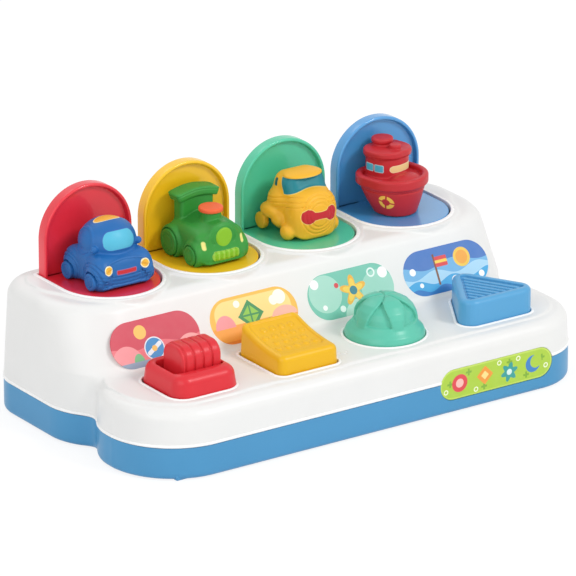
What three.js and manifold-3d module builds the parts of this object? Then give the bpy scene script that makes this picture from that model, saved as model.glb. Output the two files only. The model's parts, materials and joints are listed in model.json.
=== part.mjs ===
import * as THREE from 'three';
import { mergeVertices } from 'three/addons/utils/BufferGeometryUtils.js';
import Module from 'manifold-3d';

// A toy with four spring-loaded pop-up vehicles, each let go by its own button.
// Millimetres. X runs along the length, Y to the back, Z up. The origin is on the
// ground under the middle of the housing. The rest pose has all four pop-ups open.

const wasm = await Module();
wasm.setup();

// Overall sizes
const housingLength = 320;
const housingDepth = 172.4;
const trayHeight = 18.6;
const deckHeight = 44.7;
const topHeight = 82.9;
const wall = 2.4;
const draft = THREE.MathUtils.degToRad(2.3);

// Clearances and drawing values
const fitGap = 0.3;
const slideGap = 0.5;
const swingGap = 0.6;
const overrun = 1;
const arcSteps = 5;
const smallSteps = 3;
const archSteps = 14;
const filletSteps = 3;
const roundSides = 8;
const wheelSides = 10;
const mergeDistance = 0.00001;

// Four bays in a row, one pitch apart, counted from the middle of the housing
const bayPitchShare = 0.21875;
const bayStepShares = [-1.5, -0.5, 0.5, 1.5];
const webStepShares = [-2, -1, 0, 1, 2];

// Housing plan: a deep rear lobe and a shallower front lobe, placed as shares of the depth
const planShares = {
  rearCorner: 0.22622,
  backCorner: 0.15081,
  frontCorner: 0.19722,
  rearLobeFoot: -0.12181,
  slopeFoot: -0.11137,
  slopeTop: 0.00928,
  frontLobeBack: -0.02784,
  hinge: 0.35673,
  lidReach: 0.31903,
  buttons: -0.27842,
};
const topFillet = 9;
const slopeFillet = 2;
const deckFillet = 7;
const trayFillet = 5;
const footHeight = 1.2;
const footLength = 14;
const footWidth = 6;
const footInset = 6;
const rimWidth = 1.4;
const rimHeight = 0.6;
const seamLip = 2;
const borderInset = 9;
const borderWidth = 1.2;
const borderDepth = 0.5;

// Pop-ups: an upright lid and a platform moulded in one, on a hinge along X
const hingeDrop = 3.4;
const knuckleRadius = 3.5;
const pinRadius = 1.5;
const lidMargin = 5;
const lidFront = 3.7;
const lidRecess = 3;
const lidRim = 2.2;
const platformMargin = 0.5;
const platformTipGap = 0.2;
const platformUnder = 0.8;
const platformThick = 2.4;
const knuckleLength = 17;
const springWire = 0.7;
const springTurnCount = 3;
const wireSides = 4;
const wireSteps = 6;
const skirtDepth = 6;
const earDepth = 11;
const earDrop = 6;
const earThick = 4.5;
const earHalfWidth = 4;
const webThick = 2;
const webFoot = 28;

// Slide button: a square frame with a ribbed knob
const buttonRise = 0.9;
const plugDepth = 5;
const frameSide = 44.7;
const frameCorner = 10;
const frameHeight = 12;
const frameTaper = 2.2;
const frameRoundShares = [[0.333, 0.25], [0.817, 1], [0.939, 1.5], [1, 2.4]];
const knobLength = 27;
const knobDepth = 23;
const knobTop = 26;
const knobRoundShare = 0.42;
const knobMargin = 7;
const knobTravel = 5;
const knobWellDepth = 8;
const knobRibs = 5;
const knobFirstRibShare = 1.25;
const knobGroove = 1.1;

// Rocker key
const keyWidth = 42;
const keyDepth = 45.6;
const keyBackHeight = 24;
const keyFrontHeight = 10.5;
const keyCorner = 5;
const keyGap = 0.9;
const keyTaper = 1;
const keyBorder = 4;
const keyPanelDepth = 0.7;
const keySagShare = [0.42, 0.02];
const keyReachFront = 24;
const keyPivotShare = 0.62;
const keyPivotRise = 0.6;
const keyLegReach = 18;
const keyRampDrop = 2.9;
const keyFootSwing = 4.5;

// Dial: a flared skirt under a dome with five lobes. Each level states its height, its
// radius and how far the lobes stand out, as shares of the dial's height and radius.
const dialRadius = 24.2;
const dialHeight = 24;
const dialLobes = 5;
const dialLobeSides = 6;
const dialFacing = THREE.MathUtils.degToRad(-112.5);
const dialTurn = THREE.MathUtils.degToRad(60);
const dialLevelShares = [
  [0.06, 1, 0], [0.2, 0.95, 0], [0.32, 0.83, 0.02], [0.36, 0.76, 0.1], [0.5, 0.72, 0.1],
  [0.68, 0.62, 0.085], [0.84, 0.46, 0.06], [0.95, 0.25, 0.02], [1, 0.08, 0],
];

// Triangular push button
const triangleSide = 62;
const triangleCorner = 8;
const triangleHeight = 15;
const triangleReachFront = 22.5;
const triangleRoundShares = [[0.5, 0], [0.8, 0.06], [0.94, 0.14], [1, 0.24]];
const trianglePanelShare = 0.74;
const triangleRibs = 5;
const ribPitch = 5.4;
const ribWidth = 2.5;
const ribDrop = 0.5;
const pushTravel = 5;
const pushLegReach = 16;
const springSeatRadius = 4.5;
const springSeatTop = 21;
const springDrop = 11.7;
const pushSpringRadius = 3.5;

// Latches: flat bars on the tray floor that slide along X
const latchWidth = 8;
const latchThick = 3;
const latchFloor = 7;
const latchTravel = knobTravel;
const latchReachFront = 18;
const tabWidth = 12;
const noseDepth = 3.2;
const noseLength = 4;
const noseOffset = -11;
const noseOverlap = 3.2;
const postRadius = 2;
const stemRadius = 3;
const wedgeGap = 0.4;
const rampLow = 0.5;

// Labels
const pillMargin = 6;
const pillHeightShare = 0.676;
const pillRiseShare = 0.38;
const frontPillLength = 82;
const frontPillHeight = 19;
const frontPillOverlap = 5;
const labelThick = 0.6;
const labelProud = 0.15;

// Vehicles: a common envelope that each vehicle's shares refer to
const vehicleWidthShare = 1.4333;
const vehicleLengthShare = 0.72727;
const vehicleHeightShare = 0.78182;
const vehiclePlaceShare = 0.45455;
const bodyRoundSteps = 2;
const bodyRoundLimitShare = 0.4;
const wheelSinkShare = 0.94;
const wheelRoundShare = 0.333;

// What follows from these sizes
const bayPitch = housingLength * bayPitchShare;
const bayX = bayStepShares.map((share) => share * bayPitch);
const frontEdge = -housingDepth / 2;
const backEdge = housingDepth / 2;
const sideEdge = housingLength / 2;
const rearCornerRadius = housingDepth * planShares.rearCorner;
const backCornerRadius = housingDepth * planShares.backCorner;
const frontCornerRadius = housingDepth * planShares.frontCorner;
const rearLobeFoot = housingDepth * planShares.rearLobeFoot;
const slopeFoot = housingDepth * planShares.slopeFoot;
const slopeTop = housingDepth * planShares.slopeTop;
const frontLobeBack = housingDepth * planShares.frontLobeBack;
const hingeY = housingDepth * planShares.hinge;
const hingeZ = topHeight - hingeDrop;
const lidRadius = bayPitch / 2 - lidMargin;
const lidReach = housingDepth * planShares.lidReach;
const platformRadius = lidRadius - platformMargin;
const platformReach = lidReach - platformTipGap;
const innerTop = topHeight - wall;
const innerDeck = deckHeight - wall;
const seamTop = trayHeight + fitGap;
const openRadius = lidRadius + swingGap;
const openCentreY = hingeY - (lidReach - lidRadius);
const openBack = hingeY + knuckleRadius + swingGap;
const platformZ = hingeZ + platformUnder;
const platformTop = platformZ + platformThick;
const closedTipZ = hingeZ - platformReach;
const springRadius = pinRadius + fitGap + springWire / 2;
const buttonY = housingDepth * planShares.buttons;
const buttonGaps = [fitGap, keyGap, fitGap, fitGap];
const plugBottom = deckHeight - plugDepth;
const buttonBase = deckHeight + buttonRise;
const knobRight = frameSide / 2 - knobMargin;
const knobStemX = knobRight - knobLength / 2;
const keyFrontY = buttonY - keyReachFront;
const keyPivotY = keyFrontY + keyDepth * keyPivotShare;
const keyPivotZ = plugBottom + keyPivotRise;
const keyLegY = keyPivotY - keyLegReach;
const triangleY = buttonY - triangleReachFront + triangleSide / (2 * Math.sqrt(3));
const pushLegY = buttonY - pushLegReach;
const springTop = deckHeight - springDrop;
const crankReach = latchTravel / (2 * Math.sin(dialTurn / 2));
const slotHalf = stemRadius + slideGap;
const footLeft = noseOffset - stemRadius;
const footRight = noseOffset + stemRadius;
const rampRight = footRight + latchTravel;
const latchTop = latchFloor + latchThick;
const latchFront = buttonY - latchReachFront;
const postTop = latchTop + wall;
const postPlaces = [openCentreY, slopeFoot + wall];
const slopeRun = slopeTop - slopeFoot;
const slopeRise = topHeight - deckHeight;
const slopeAngle = Math.atan2(slopeRise, slopeRun);
const pillCentreZ = deckHeight + slopeRise * pillRiseShare;
const pillLength = bayPitch - pillMargin;
const pillHeight = Math.hypot(slopeRise, slopeRun) * pillHeightShare;
const frontPillX = sideEdge - frontCornerRadius - frontPillLength / 2 + frontPillOverlap;
const vehicleWidth = lidRadius * vehicleWidthShare;
const vehicleLength = lidReach * vehicleLengthShare;
const vehicleHeight = lidReach * vehicleHeightShare;
const vehicleY = hingeY - lidReach * vehiclePlaceShare;

const materials = {
  white: new THREE.MeshStandardMaterial({ color: 0xf1f3f5, roughness: 0.38, metalness: 0 }),
  trayBlue: new THREE.MeshStandardMaterial({ color: 0x4e9be0, roughness: 0.4, metalness: 0 }),
  red: new THREE.MeshStandardMaterial({ color: 0xe2343f, roughness: 0.38, metalness: 0 }),
  yellow: new THREE.MeshStandardMaterial({ color: 0xf6c11c, roughness: 0.38, metalness: 0 }),
  green: new THREE.MeshStandardMaterial({ color: 0x4fbf98, roughness: 0.38, metalness: 0 }),
  blue: new THREE.MeshStandardMaterial({ color: 0x4a97e3, roughness: 0.38, metalness: 0 }),
  carBlue: new THREE.MeshStandardMaterial({ color: 0x2f62b8, roughness: 0.42, metalness: 0 }),
  trainGreen: new THREE.MeshStandardMaterial({ color: 0x2f9a55, roughness: 0.42, metalness: 0 }),
  planeYellow: new THREE.MeshStandardMaterial({ color: 0xf2b92a, roughness: 0.42, metalness: 0 }),
  boatRed: new THREE.MeshStandardMaterial({ color: 0xc8323c, roughness: 0.42, metalness: 0 }),
  label: new THREE.MeshStandardMaterial({ color: 0xd8ece4, roughness: 0.5, metalness: 0 }),
  limeLabel: new THREE.MeshStandardMaterial({ color: 0xa9d53c, roughness: 0.5, metalness: 0 }),
  grey: new THREE.MeshStandardMaterial({ color: 0xb9bdc2, roughness: 0.5, metalness: 0 }),
  steel: new THREE.MeshStandardMaterial({ color: 0xb8bcc0, roughness: 0.3, metalness: 0.9 }),
};

// Turns a closed geometry into a solid that can be joined and cut.
function solid(geometry) {
  const plain = geometry.index ? geometry.toNonIndexed() : geometry.clone();
  plain.deleteAttribute('normal');
  plain.deleteAttribute('uv');
  const merged = mergeVertices(plain, mergeDistance);
  const mesh = new wasm.Mesh({
    numProp: 3,
    vertProperties: new Float32Array(merged.attributes.position.array),
    triVerts: new Uint32Array(merged.index.array),
  });
  return new wasm.Manifold(mesh);
}

// Turns a solid back into a geometry.
function geometryOf(body) {
  const mesh = body.getMesh();
  const geometry = new THREE.BufferGeometry();
  geometry.setAttribute('position', new THREE.BufferAttribute(mesh.vertProperties, 3));
  geometry.setIndex(new THREE.BufferAttribute(mesh.triVerts, 1));
  geometry.computeVertexNormals();
  return geometry;
}

function join(...bodies) {
  return bodies.reduce((all, body) => all.add(body));
}

function moved(geometry, x, y, z) {
  return geometry.translate(x, y, z);
}

// Outlines

// A rectangle with round corners, its front corners and its back corners each alike.
function roundRect(xMin, xMax, yMin, yMax, frontRadius, backRadius = frontRadius, steps = arcSteps) {
  const corners = [
    [xMax - frontRadius, yMin + frontRadius, frontRadius, -0.5],
    [xMax - backRadius, yMax - backRadius, backRadius, 0],
    [xMin + backRadius, yMax - backRadius, backRadius, 0.5],
    [xMin + frontRadius, yMin + frontRadius, frontRadius, 1],
  ];
  const points = [];
  for (const [x, y, radius, start] of corners) {
    for (let step = 0; step <= steps; step += 1) {
      const angle = (start + 0.5 * step / steps) * Math.PI;
      points.push(new THREE.Vector2(x + radius * Math.cos(angle), y + radius * Math.sin(angle)));
    }
  }
  return points;
}

function stadium(length, height) {
  const radius = height / 2;
  return roundRect(-length / 2, length / 2, -radius, radius, radius, radius, smallSteps + 1);
}

// A half disc that continues straight to a back edge, as a lid and its bay are shaped.
function archOutline(radius, centreY, backY, steps = archSteps) {
  const points = [new THREE.Vector2(radius, backY), new THREE.Vector2(-radius, backY)];
  for (let step = 0; step <= steps; step += 1) {
    const angle = Math.PI * (1 + step / steps);
    points.push(new THREE.Vector2(radius * Math.cos(angle), centreY + radius * Math.sin(angle)));
  }
  return points;
}

// An upright triangle about the origin, with round corners.
function triangleCorners(side, cornerRadius, steps = smallSteps) {
  const reach = side / Math.sqrt(3) - 2 * cornerRadius;
  const points = [];
  for (let corner = 0; corner < 3; corner += 1) {
    const turn = (Math.PI / 6) * (4 * corner - 1);
    const centre = new THREE.Vector2(Math.cos(turn), Math.sin(turn)).multiplyScalar(reach);
    for (let step = 0; step <= steps; step += 1) {
      const angle = turn + (Math.PI / 3) * ((2 * step) / steps - 1);
      points.push(new THREE.Vector2(
        centre.x + cornerRadius * Math.cos(angle),
        centre.y + cornerRadius * Math.sin(angle),
      ));
    }
  }
  return points;
}

// Bodies from outlines

function prism(points, bottom, top) {
  const distinct = points.filter((point, at) => point.distanceTo(points.at(at - 1)) > mergeDistance);
  const shape = new THREE.Shape(distinct);
  const geometry = new THREE.ExtrudeGeometry(shape, { depth: top - bottom, bevelEnabled: false });
  return moved(geometry, 0, 0, bottom);
}

// Joins level outlines, all with as many points, into one closed body.
function loft(levels) {
  const clockwise = THREE.ShapeUtils.isClockWise(levels[0].points);
  if (clockwise) for (const level of levels) level.points.reverse();
  const count = levels[0].points.length;
  const positions = [];
  const indices = [];
  for (const { points, z } of levels) {
    for (const point of points) positions.push(point.x, point.y, z);
  }
  for (let level = 0; level < levels.length - 1; level += 1) {
    for (let at = 0; at < count; at += 1) {
      const next = (at + 1) % count;
      const [a, b] = [level * count + at, level * count + next];
      indices.push(a, b, b + count, a, b + count, a + count);
    }
  }
  const last = (levels.length - 1) * count;
  const cap = THREE.ShapeUtils.triangulateShape(levels[0].points, []);
  const lid = THREE.ShapeUtils.triangulateShape(levels[levels.length - 1].points, []);
  for (const [a, b, c] of cap) indices.push(a, c, b);
  for (const [a, b, c] of lid) indices.push(last + a, last + b, last + c);
  const geometry = new THREE.BufferGeometry();
  geometry.setAttribute('position', new THREE.Float32BufferAttribute(positions, 3));
  geometry.setIndex(indices);
  return geometry;
}

function block(xMin, xMax, yMin, yMax, zMin, zMax) {
  const geometry = new THREE.BoxGeometry(xMax - xMin, yMax - yMin, zMax - zMin);
  return moved(geometry, (xMin + xMax) / 2, (yMin + yMax) / 2, (zMin + zMax) / 2);
}

function upright(radius, bottom, top, sides = roundSides) {
  const geometry = new THREE.CylinderGeometry(radius, radius, top - bottom, sides);
  return moved(geometry.rotateX(Math.PI / 2), 0, 0, (bottom + top) / 2);
}

// A cylinder along X between two places.
function crosswise(radius, from, to, sides = roundSides) {
  const geometry = new THREE.CylinderGeometry(radius, radius, to - from, sides);
  return moved(geometry.rotateZ(Math.PI / 2), (from + to) / 2, 0, 0);
}

function ellipsoid(size, centre, around = archSteps, along = roundSides - 1) {
  const geometry = new THREE.SphereGeometry(1, around, along);
  geometry.scale(size[0], size[1], size[2]);
  return moved(geometry, centre[0], centre[1], centre[2]);
}

// A coil of round wire along Z.
function coil(radius, wire, height, turns) {
  const rise = height - wire;
  const steps = turns * wireSteps;
  const path = new THREE.Curve();
  path.getPoint = (share, target = new THREE.Vector3()) => {
    const angle = share * turns * 2 * Math.PI;
    return target.set(radius * Math.cos(angle), radius * Math.sin(angle), wire / 2 + rise * share);
  };
  const corners = Array.from({ length: wireSides }, (_, corner) => {
    const angle = (2 * Math.PI * corner) / wireSides;
    return new THREE.Vector2((wire / 2) * Math.cos(angle), (wire / 2) * Math.sin(angle));
  });
  const section = new THREE.Shape(corners);
  return new THREE.ExtrudeGeometry(section, { steps, extrudePath: path, bevelEnabled: false });
}

// Housing

function draftAt(z) {
  return (z - trayHeight) * Math.tan(draft);
}

function slopeAt(z) {
  return slopeFoot + (slopeRun * (z - deckHeight)) / slopeRise;
}

// One level of the rear lobe, drawn in by an inset on all sides.
function rearLevel(z, inset, frontInset = inset) {
  const footShare = Math.min(1, (z - trayHeight) / (deckHeight - trayHeight));
  const front = z > deckHeight ? slopeAt(z) : rearLobeFoot + (slopeFoot - rearLobeFoot) * footShare;
  const side = sideEdge - draftAt(z) - inset;
  return {
    z,
    points: roundRect(
      -side,
      side,
      front + frontInset,
      backEdge - draftAt(z) - inset,
      rearCornerRadius - inset,
      backCornerRadius - inset,
    ),
  };
}

function frontLevel(z, inset) {
  const side = sideEdge - draftAt(z) - inset;
  return {
    z,
    points: roundRect(
      -side,
      side,
      frontEdge + draftAt(z) + inset,
      frontLobeBack - inset,
      frontCornerRadius - inset,
    ),
  };
}

// Adds the levels of a round top edge, which ends flat at the given height.
function filletLevels(level, top, radius, inset) {
  const levels = [];
  const steps = inset > 0 ? 1 : filletSteps;
  for (let step = 0; step <= steps; step += 1) {
    const angle = (0.5 * Math.PI * step) / steps;
    const z = top - radius + radius * Math.sin(angle);
    levels.push(level(z, inset + radius * (1 - Math.cos(angle)), angle));
  }
  return levels;
}

function rearLobe(inset, bottom, top, fillet) {
  const slopeInset = inset / Math.sin(slopeAngle);
  const upper = filletLevels(
    (z, grown, angle) => rearLevel(z, grown, slopeInset + slopeFillet * (1 - Math.cos(angle))),
    top,
    fillet,
    inset,
  );
  return loft([rearLevel(bottom, inset), rearLevel(Math.min(deckHeight, top - fillet), inset), ...upper]);
}

function frontLobe(inset, bottom, top, fillet) {
  return loft([frontLevel(bottom, inset), ...filletLevels(frontLevel, top, fillet, inset)]);
}

function lobes(inset, bottom, rearTop, frontTop, rearFillet, frontFillet) {
  return join(
    solid(rearLobe(inset, bottom, rearTop, rearFillet)),
    solid(frontLobe(inset, bottom, frontTop, frontFillet)),
  );
}

// Outlines of the four buttons

function keyOutline(grow = 0) {
  return roundRect(
    -keyWidth / 2 - grow,
    keyWidth / 2 + grow,
    keyFrontY - grow,
    keyFrontY + keyDepth + grow,
    keyCorner + grow,
    keyCorner + grow,
    smallSteps,
  );
}

function frameOutline(grow = 0) {
  const half = frameSide / 2 + grow;
  return roundRect(-half, half, buttonY - half, buttonY + half, frameCorner + grow);
}

function dialOutline(grow = 0) {
  const radius = dialRadius + grow;
  return roundRect(-radius, radius, buttonY - radius, buttonY + radius, radius);
}

function triangleOutline(grow = 0, side = triangleSide, corner = triangleCorner) {
  const points = triangleCorners(side + 2 * Math.sqrt(3) * grow, corner + grow);
  return points.map((point) => new THREE.Vector2(point.x, point.y + triangleY));
}

const buttonOutlines = [frameOutline, keyOutline, dialOutline, triangleOutline];

// Carries a flat shape drawn in XY onto the slope, facing out of it.
function onSlope(geometry, x) {
  return moved(geometry.rotateX(slopeAngle), x, slopeAt(pillCentreZ), pillCentreZ);
}

function onFront(geometry) {
  return moved(geometry.rotateX(Math.PI / 2), frontPillX, frontEdge, trayHeight);
}

// The mouth of a bay with the skirt that hangs round it, and the recess for its panel label.
function bayMouth(body, x) {
  const [bottom, top] = [topHeight - skirtDepth, topHeight + rimHeight];
  const skirt = prism(archOutline(openRadius + rimWidth, openCentreY, openBack + rimWidth), bottom, top);
  const mouth = prism(archOutline(openRadius, openCentreY, openBack), bottom - overrun, top + overrun);
  const outline = stadium(pillLength + 2 * fitGap, pillHeight + 2 * fitGap);
  const recess = prism(outline, -labelThick + labelProud - fitGap, overrun);
  return body
    .add(solid(moved(skirt, x, 0, 0)))
    .subtract(solid(moved(mouth, x, 0, 0)))
    .subtract(solid(onSlope(recess, x)));
}

// The hole that a button stands in, with its raised rim.
function buttonHole(body, x, outline, gap) {
  const rim = prism(outline(gap + rimWidth), innerDeck, deckHeight + rimHeight);
  const hole = prism(outline(gap), innerDeck - overrun, deckHeight + rimHeight + overrun);
  return body.add(solid(moved(rim, x, 0, 0))).subtract(solid(moved(hole, x, 0, 0)));
}

// A web between two bays, with the bored ear at its top that carries the ends of the hinge pins.
function hingeWeb(body, x) {
  const half = (bayPitch - 2 * openRadius) / 2 - fitGap;
  const [front, back] = [hingeY - earDepth / 2, hingeY + earDepth / 2];
  const top = innerTop + overrun;
  const web = block(-webThick / 2, webThick / 2, openCentreY - lidRadius + wall, openBack, webFoot, top);
  const ear = block(-half, half, front, back, hingeZ - earDrop, top);
  const bore = moved(crosswise(pinRadius + fitGap, -half - overrun, half + overrun), 0, hingeY, hingeZ);
  return body
    .add(solid(moved(web, x, 0, 0)))
    .add(solid(moved(ear, x, 0, 0)))
    .subtract(solid(moved(bore, x, 0, 0)));
}

function topShell() {
  const outside = lobes(0, seamTop, topHeight, deckHeight, topFillet, deckFillet);
  const inside = lobes(
    wall,
    seamTop - overrun,
    innerTop,
    innerDeck,
    topFillet - wall,
    deckFillet - wall,
  );
  let body = outside.subtract(inside);
  for (const x of bayX) body = bayMouth(body, x);
  for (const share of webStepShares) body = hingeWeb(body, share * bayPitch);
  for (const [at, outline] of buttonOutlines.entries()) {
    body = buttonHole(body, bayX[at], outline, buttonGaps[at]);
  }
  return body.add(keyEars()).subtract(frontRecess()).subtract(deckBorder());
}

// Two ears under the deck beside the rocker key, bored for the ends of its pin.
function keyEars() {
  const near = keyWidth / 2 + keyGap + slideGap;
  const far = near + earThick;
  const [front, back] = [keyPivotY - earHalfWidth, keyPivotY + earHalfWidth];
  const [bottom, top] = [keyPivotZ - earHalfWidth, innerDeck + wall / 2];
  const bore = moved(crosswise(pinRadius + fitGap, -far - overrun, far + overrun), 0, keyPivotY, keyPivotZ);
  return join(
    solid(block(-far, -near, front, back, bottom, top)),
    solid(block(near, far, front, back, bottom, top)),
  ).subtract(solid(bore)).translate([bayX[1], 0, 0]);
}

// The shallow pocket that the front label lies in, cut through shell and tray alike.
function frontRecess() {
  const depth = labelThick + draftAt(trayHeight + frontPillHeight / 2) + fitGap;
  const outline = stadium(frontPillLength + 2 * fitGap, frontPillHeight + 2 * fitGap);
  return solid(onFront(prism(outline, -depth, overrun)));
}

// The soft groove that runs round the front deck inside its edge.
function deckBorder() {
  const outer = frontLevel(deckHeight, borderInset);
  const inner = frontLevel(deckHeight, borderInset + borderWidth);
  const ring = solid(prism(outer.points, deckHeight - borderDepth, deckHeight + overrun))
    .subtract(solid(prism(inner.points, deckHeight - borderDepth - overrun, deckHeight + 2 * overrun)));
  const bottom = deckHeight - 2 * overrun;
  const behind = block(-sideEdge, sideEdge, slopeFoot - borderWidth, backEdge, bottom, topHeight);
  return ring.subtract(solid(behind));
}

// Base tray

function trayLevels(level, inset, bottom, top, fillet) {
  const levels = [];
  const steps = fillet > 0 ? filletSteps : 0;
  for (let step = 0; step <= steps; step += 1) {
    const angle = (0.5 * Math.PI * step) / filletSteps;
    levels.push(level(bottom + fillet * (1 - Math.cos(angle)), inset + fillet * (1 - Math.sin(angle))));
  }
  levels.push(level(top, inset));
  return levels;
}

function trayLobes(inset, bottom, top, fillet) {
  const flat = (level) => (z, grown) => ({ z, points: level(trayHeight, grown).points });
  return join(
    solid(loft(trayLevels(flat(rearLevel), inset, bottom, top, fillet))),
    solid(loft(trayLevels(flat(frontLevel), inset, bottom, top, fillet))),
  );
}

// A post with a shoulder, which a latch lies on and slides along.
function latchPost(x, y) {
  const shoulder = upright(postRadius + wall, footHeight + wall / 2, latchFloor - fitGap, 6);
  const post = upright(postRadius, latchFloor - wall, postTop);
  return join(solid(shoulder), solid(post)).translate([x + noseOffset, y, 0]);
}

function baseTray() {
  let body = trayLobes(0, footHeight, trayHeight, trayFillet);
  const lipOuter = trayLobes(wall + fitGap, trayHeight - wall, trayHeight + seamLip, 0);
  const hollow = trayLobes(2 * wall, footHeight + wall, trayHeight + seamLip + overrun, 0);
  body = join(body, lipOuter).subtract(hollow);
  for (const share of webStepShares) {
    for (const y of [frontEdge + footInset, backEdge - footInset - footWidth]) {
      const foot = block(-footLength / 2, footLength / 2, y, y + footWidth, 0, footHeight + wall);
      body = body.add(solid(moved(foot, share * (bayPitch - footWidth), 0, 0)));
    }
  }
  for (const x of bayX) {
    for (const y of postPlaces) body = body.add(latchPost(x, y));
  }
  const seat = moved(upright(springSeatRadius, footHeight + wall / 2, springSeatTop), bayX[3], triangleY, 0);
  return body.add(solid(seat)).subtract(frontRecess());
}

// Pop-ups

// The upright lid's outline from its hinge to the top of its arch, drawn down the page.
function lidOutline(radius, foot) {
  const outline = archOutline(radius, lidRadius - lidReach, -foot);
  return outline.map((point) => new THREE.Vector2(point.x, point.y));
}

function standing(geometry, y) {
  return moved(geometry.rotateX(-Math.PI / 2), 0, y, 0);
}

function lid() {
  const plate = prism(lidOutline(lidRadius, platformUnder), 0, lidFront + knuckleRadius);
  const pocket = prism(
    lidOutline(lidRadius - lidRim, platformUnder + platformThick),
    0,
    lidRecess + overrun,
  );
  const platform = prism(
    archOutline(platformRadius, platformRadius - platformReach, 0),
    platformUnder,
    platformUnder + platformThick,
  );
  const knuckleEnd = lidRadius - slideGap;
  const knuckleStart = knuckleEnd - knuckleLength;
  const springRoom = springRadius + springWire / 2 + fitGap;
  const relief = crosswise(springRoom, fitGap - knuckleStart, knuckleStart - fitGap);
  const bore = crosswise(pinRadius + fitGap, -lidRadius - overrun, lidRadius + overrun);
  return join(
    solid(standing(plate, -lidFront)).subtract(solid(standing(pocket, -lidFront - overrun))),
    solid(platform),
    solid(crosswise(knuckleRadius, -knuckleEnd, -knuckleStart, wheelSides)),
    solid(crosswise(knuckleRadius, knuckleStart, knuckleEnd, wheelSides)),
  ).subtract(solid(relief)).subtract(solid(bore));
}

function lidSpring() {
  const length = 2 * (lidRadius - slideGap - knuckleLength) - 4 * fitGap;
  const spring = coil(springRadius, springWire, length, springTurnCount);
  return moved(spring, 0, 0, -length / 2).rotateY(Math.PI / 2);
}

function hingePin() {
  const reach = bayPitch / 2 - fitGap;
  return crosswise(pinRadius, -reach, reach);
}

// Vehicles. Places and sizes are shares of the common envelope: X from -0.5 to 0.5
// across, Y from -0.5 at the nose to 0.5 at the tail, Z from 0 on the platform.

function placed(share) {
  return [share[0] * vehicleWidth, share[1] * vehicleLength, share[2] * vehicleHeight];
}

function ball(centreShare, sizeShare, around, along) {
  return solid(ellipsoid(placed(sizeShare), placed(centreShare), around, along));
}

// A side profile, drawn in Y and Z, carried across the width with round edges.
function sideBody(profileShare, widthShare, roundShare) {
  const half = (widthShare * vehicleWidth) / 2;
  const corners = profileShare.map(([y, z]) => new THREE.Vector3(y * vehicleLength, z * vehicleHeight, 0));
  const curve = new THREE.CatmullRomCurve3(corners, true, 'centripetal');
  const profile = curve.getPoints(corners.length * 2).slice(0, -1);
  const box = new THREE.Box3().setFromPoints(profile);
  const [centre, size] = [box.getCenter(new THREE.Vector3()), box.getSize(new THREE.Vector3())];
  const limit = Math.min(size.x, size.y) * bodyRoundLimitShare;
  const round = Math.min(roundShare * vehicleWidth, limit);
  const level = (x, inset) => ({
    z: x,
    points: profile.map((point) => new THREE.Vector2(
      centre.x + (point.x - centre.x) * (1 - (2 * inset) / size.x),
      centre.y + (point.y - centre.y) * (1 - (2 * inset) / size.y),
    )),
  });
  const levels = [];
  for (const side of [-1, 1]) {
    for (let step = 0; step <= bodyRoundSteps; step += 1) {
      const angle = (0.5 * Math.PI * (side < 0 ? step : bodyRoundSteps - step)) / bodyRoundSteps;
      levels.push(level(side * (half - round * (1 - Math.cos(angle))), round * (1 - Math.sin(angle))));
    }
  }
  return solid(loft(levels).applyMatrix4(acrossMatrix));
}

// Takes X to Y, Y to Z and Z to X.
const acrossMatrix = new THREE.Matrix4().set(0, 0, 1, 0, 1, 0, 0, 0, 0, 1, 0, 0, 0, 0, 0, 1);

// A wheel with a chamfer on the side that faces away from the vehicle.
function wheel(centreShare, radiusShare, widthShare) {
  const [x, y, z] = placed(centreShare);
  const half = (widthShare * vehicleWidth) / 2;
  const radius = radiusShare * vehicleHeight;
  const round = half * wheelRoundShare;
  const profile = [
    [0, -half], [radius, -half], [radius, half - round], [radius - round, half], [0, half],
  ].map(([across, along]) => new THREE.Vector2(across, along));
  const geometry = new THREE.LatheGeometry(profile, wheelSides).rotateZ((-Math.sign(x) * Math.PI) / 2);
  return solid(moved(geometry, x, y, z));
}

function wheels(places, radiusShare, widthShare) {
  return join(...places.flatMap(([x, y]) => [
    wheel([x, y, radiusShare * wheelSinkShare], radiusShare, widthShare),
    wheel([-x, y, radiusShare * wheelSinkShare], radiusShare, widthShare),
  ]));
}

const carProfileShare = [
  [-0.42, 0.03], [-0.46, 0.19], [-0.455, 0.33], [-0.39, 0.45], [-0.2, 0.5],
  [0.2, 0.5], [0.42, 0.42], [0.49, 0.25], [0.47, 0.03], [0, 0.02],
];
const carBodyShare = { width: 0.92, round: 0.12 };
const carCabinShare = { centre: [0, 0.06, 0.42], size: [0.38, 0.4, 0.5] };
const carFenderShare = { centre: [0.4, -0.27, 0.17], size: [0.09, 0.2, 0.2] };
const carBumperShare = { centre: [0, -0.43, 0.1], size: [0.42, 0.05, 0.06] };
const carMirrorShare = { centre: [0.41, -0.1, 0.52], size: [0.06, 0.06, 0.06] };
const carWheelPlaceShares = [[0.45, -0.275], [0.45, 0.355]];
const carWheelShare = { radius: 0.133, width: 0.11 };

function mirrored(shape, around = roundSides, along = smallSteps + 1) {
  const [x, y, z] = shape.centre;
  return ball([x, y, z], shape.size, around, along).add(ball([-x, y, z], shape.size, around, along));
}

function car() {
  return join(
    sideBody(carProfileShare, carBodyShare.width, carBodyShare.round),
    ball(carCabinShare.centre, carCabinShare.size),
    mirrored(carFenderShare),
    ball(carBumperShare.centre, carBumperShare.size, wheelSides, smallSteps + 1),
    mirrored(carMirrorShare),
    wheels(carWheelPlaceShares, carWheelShare.radius, carWheelShare.width),
  );
}

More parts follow.
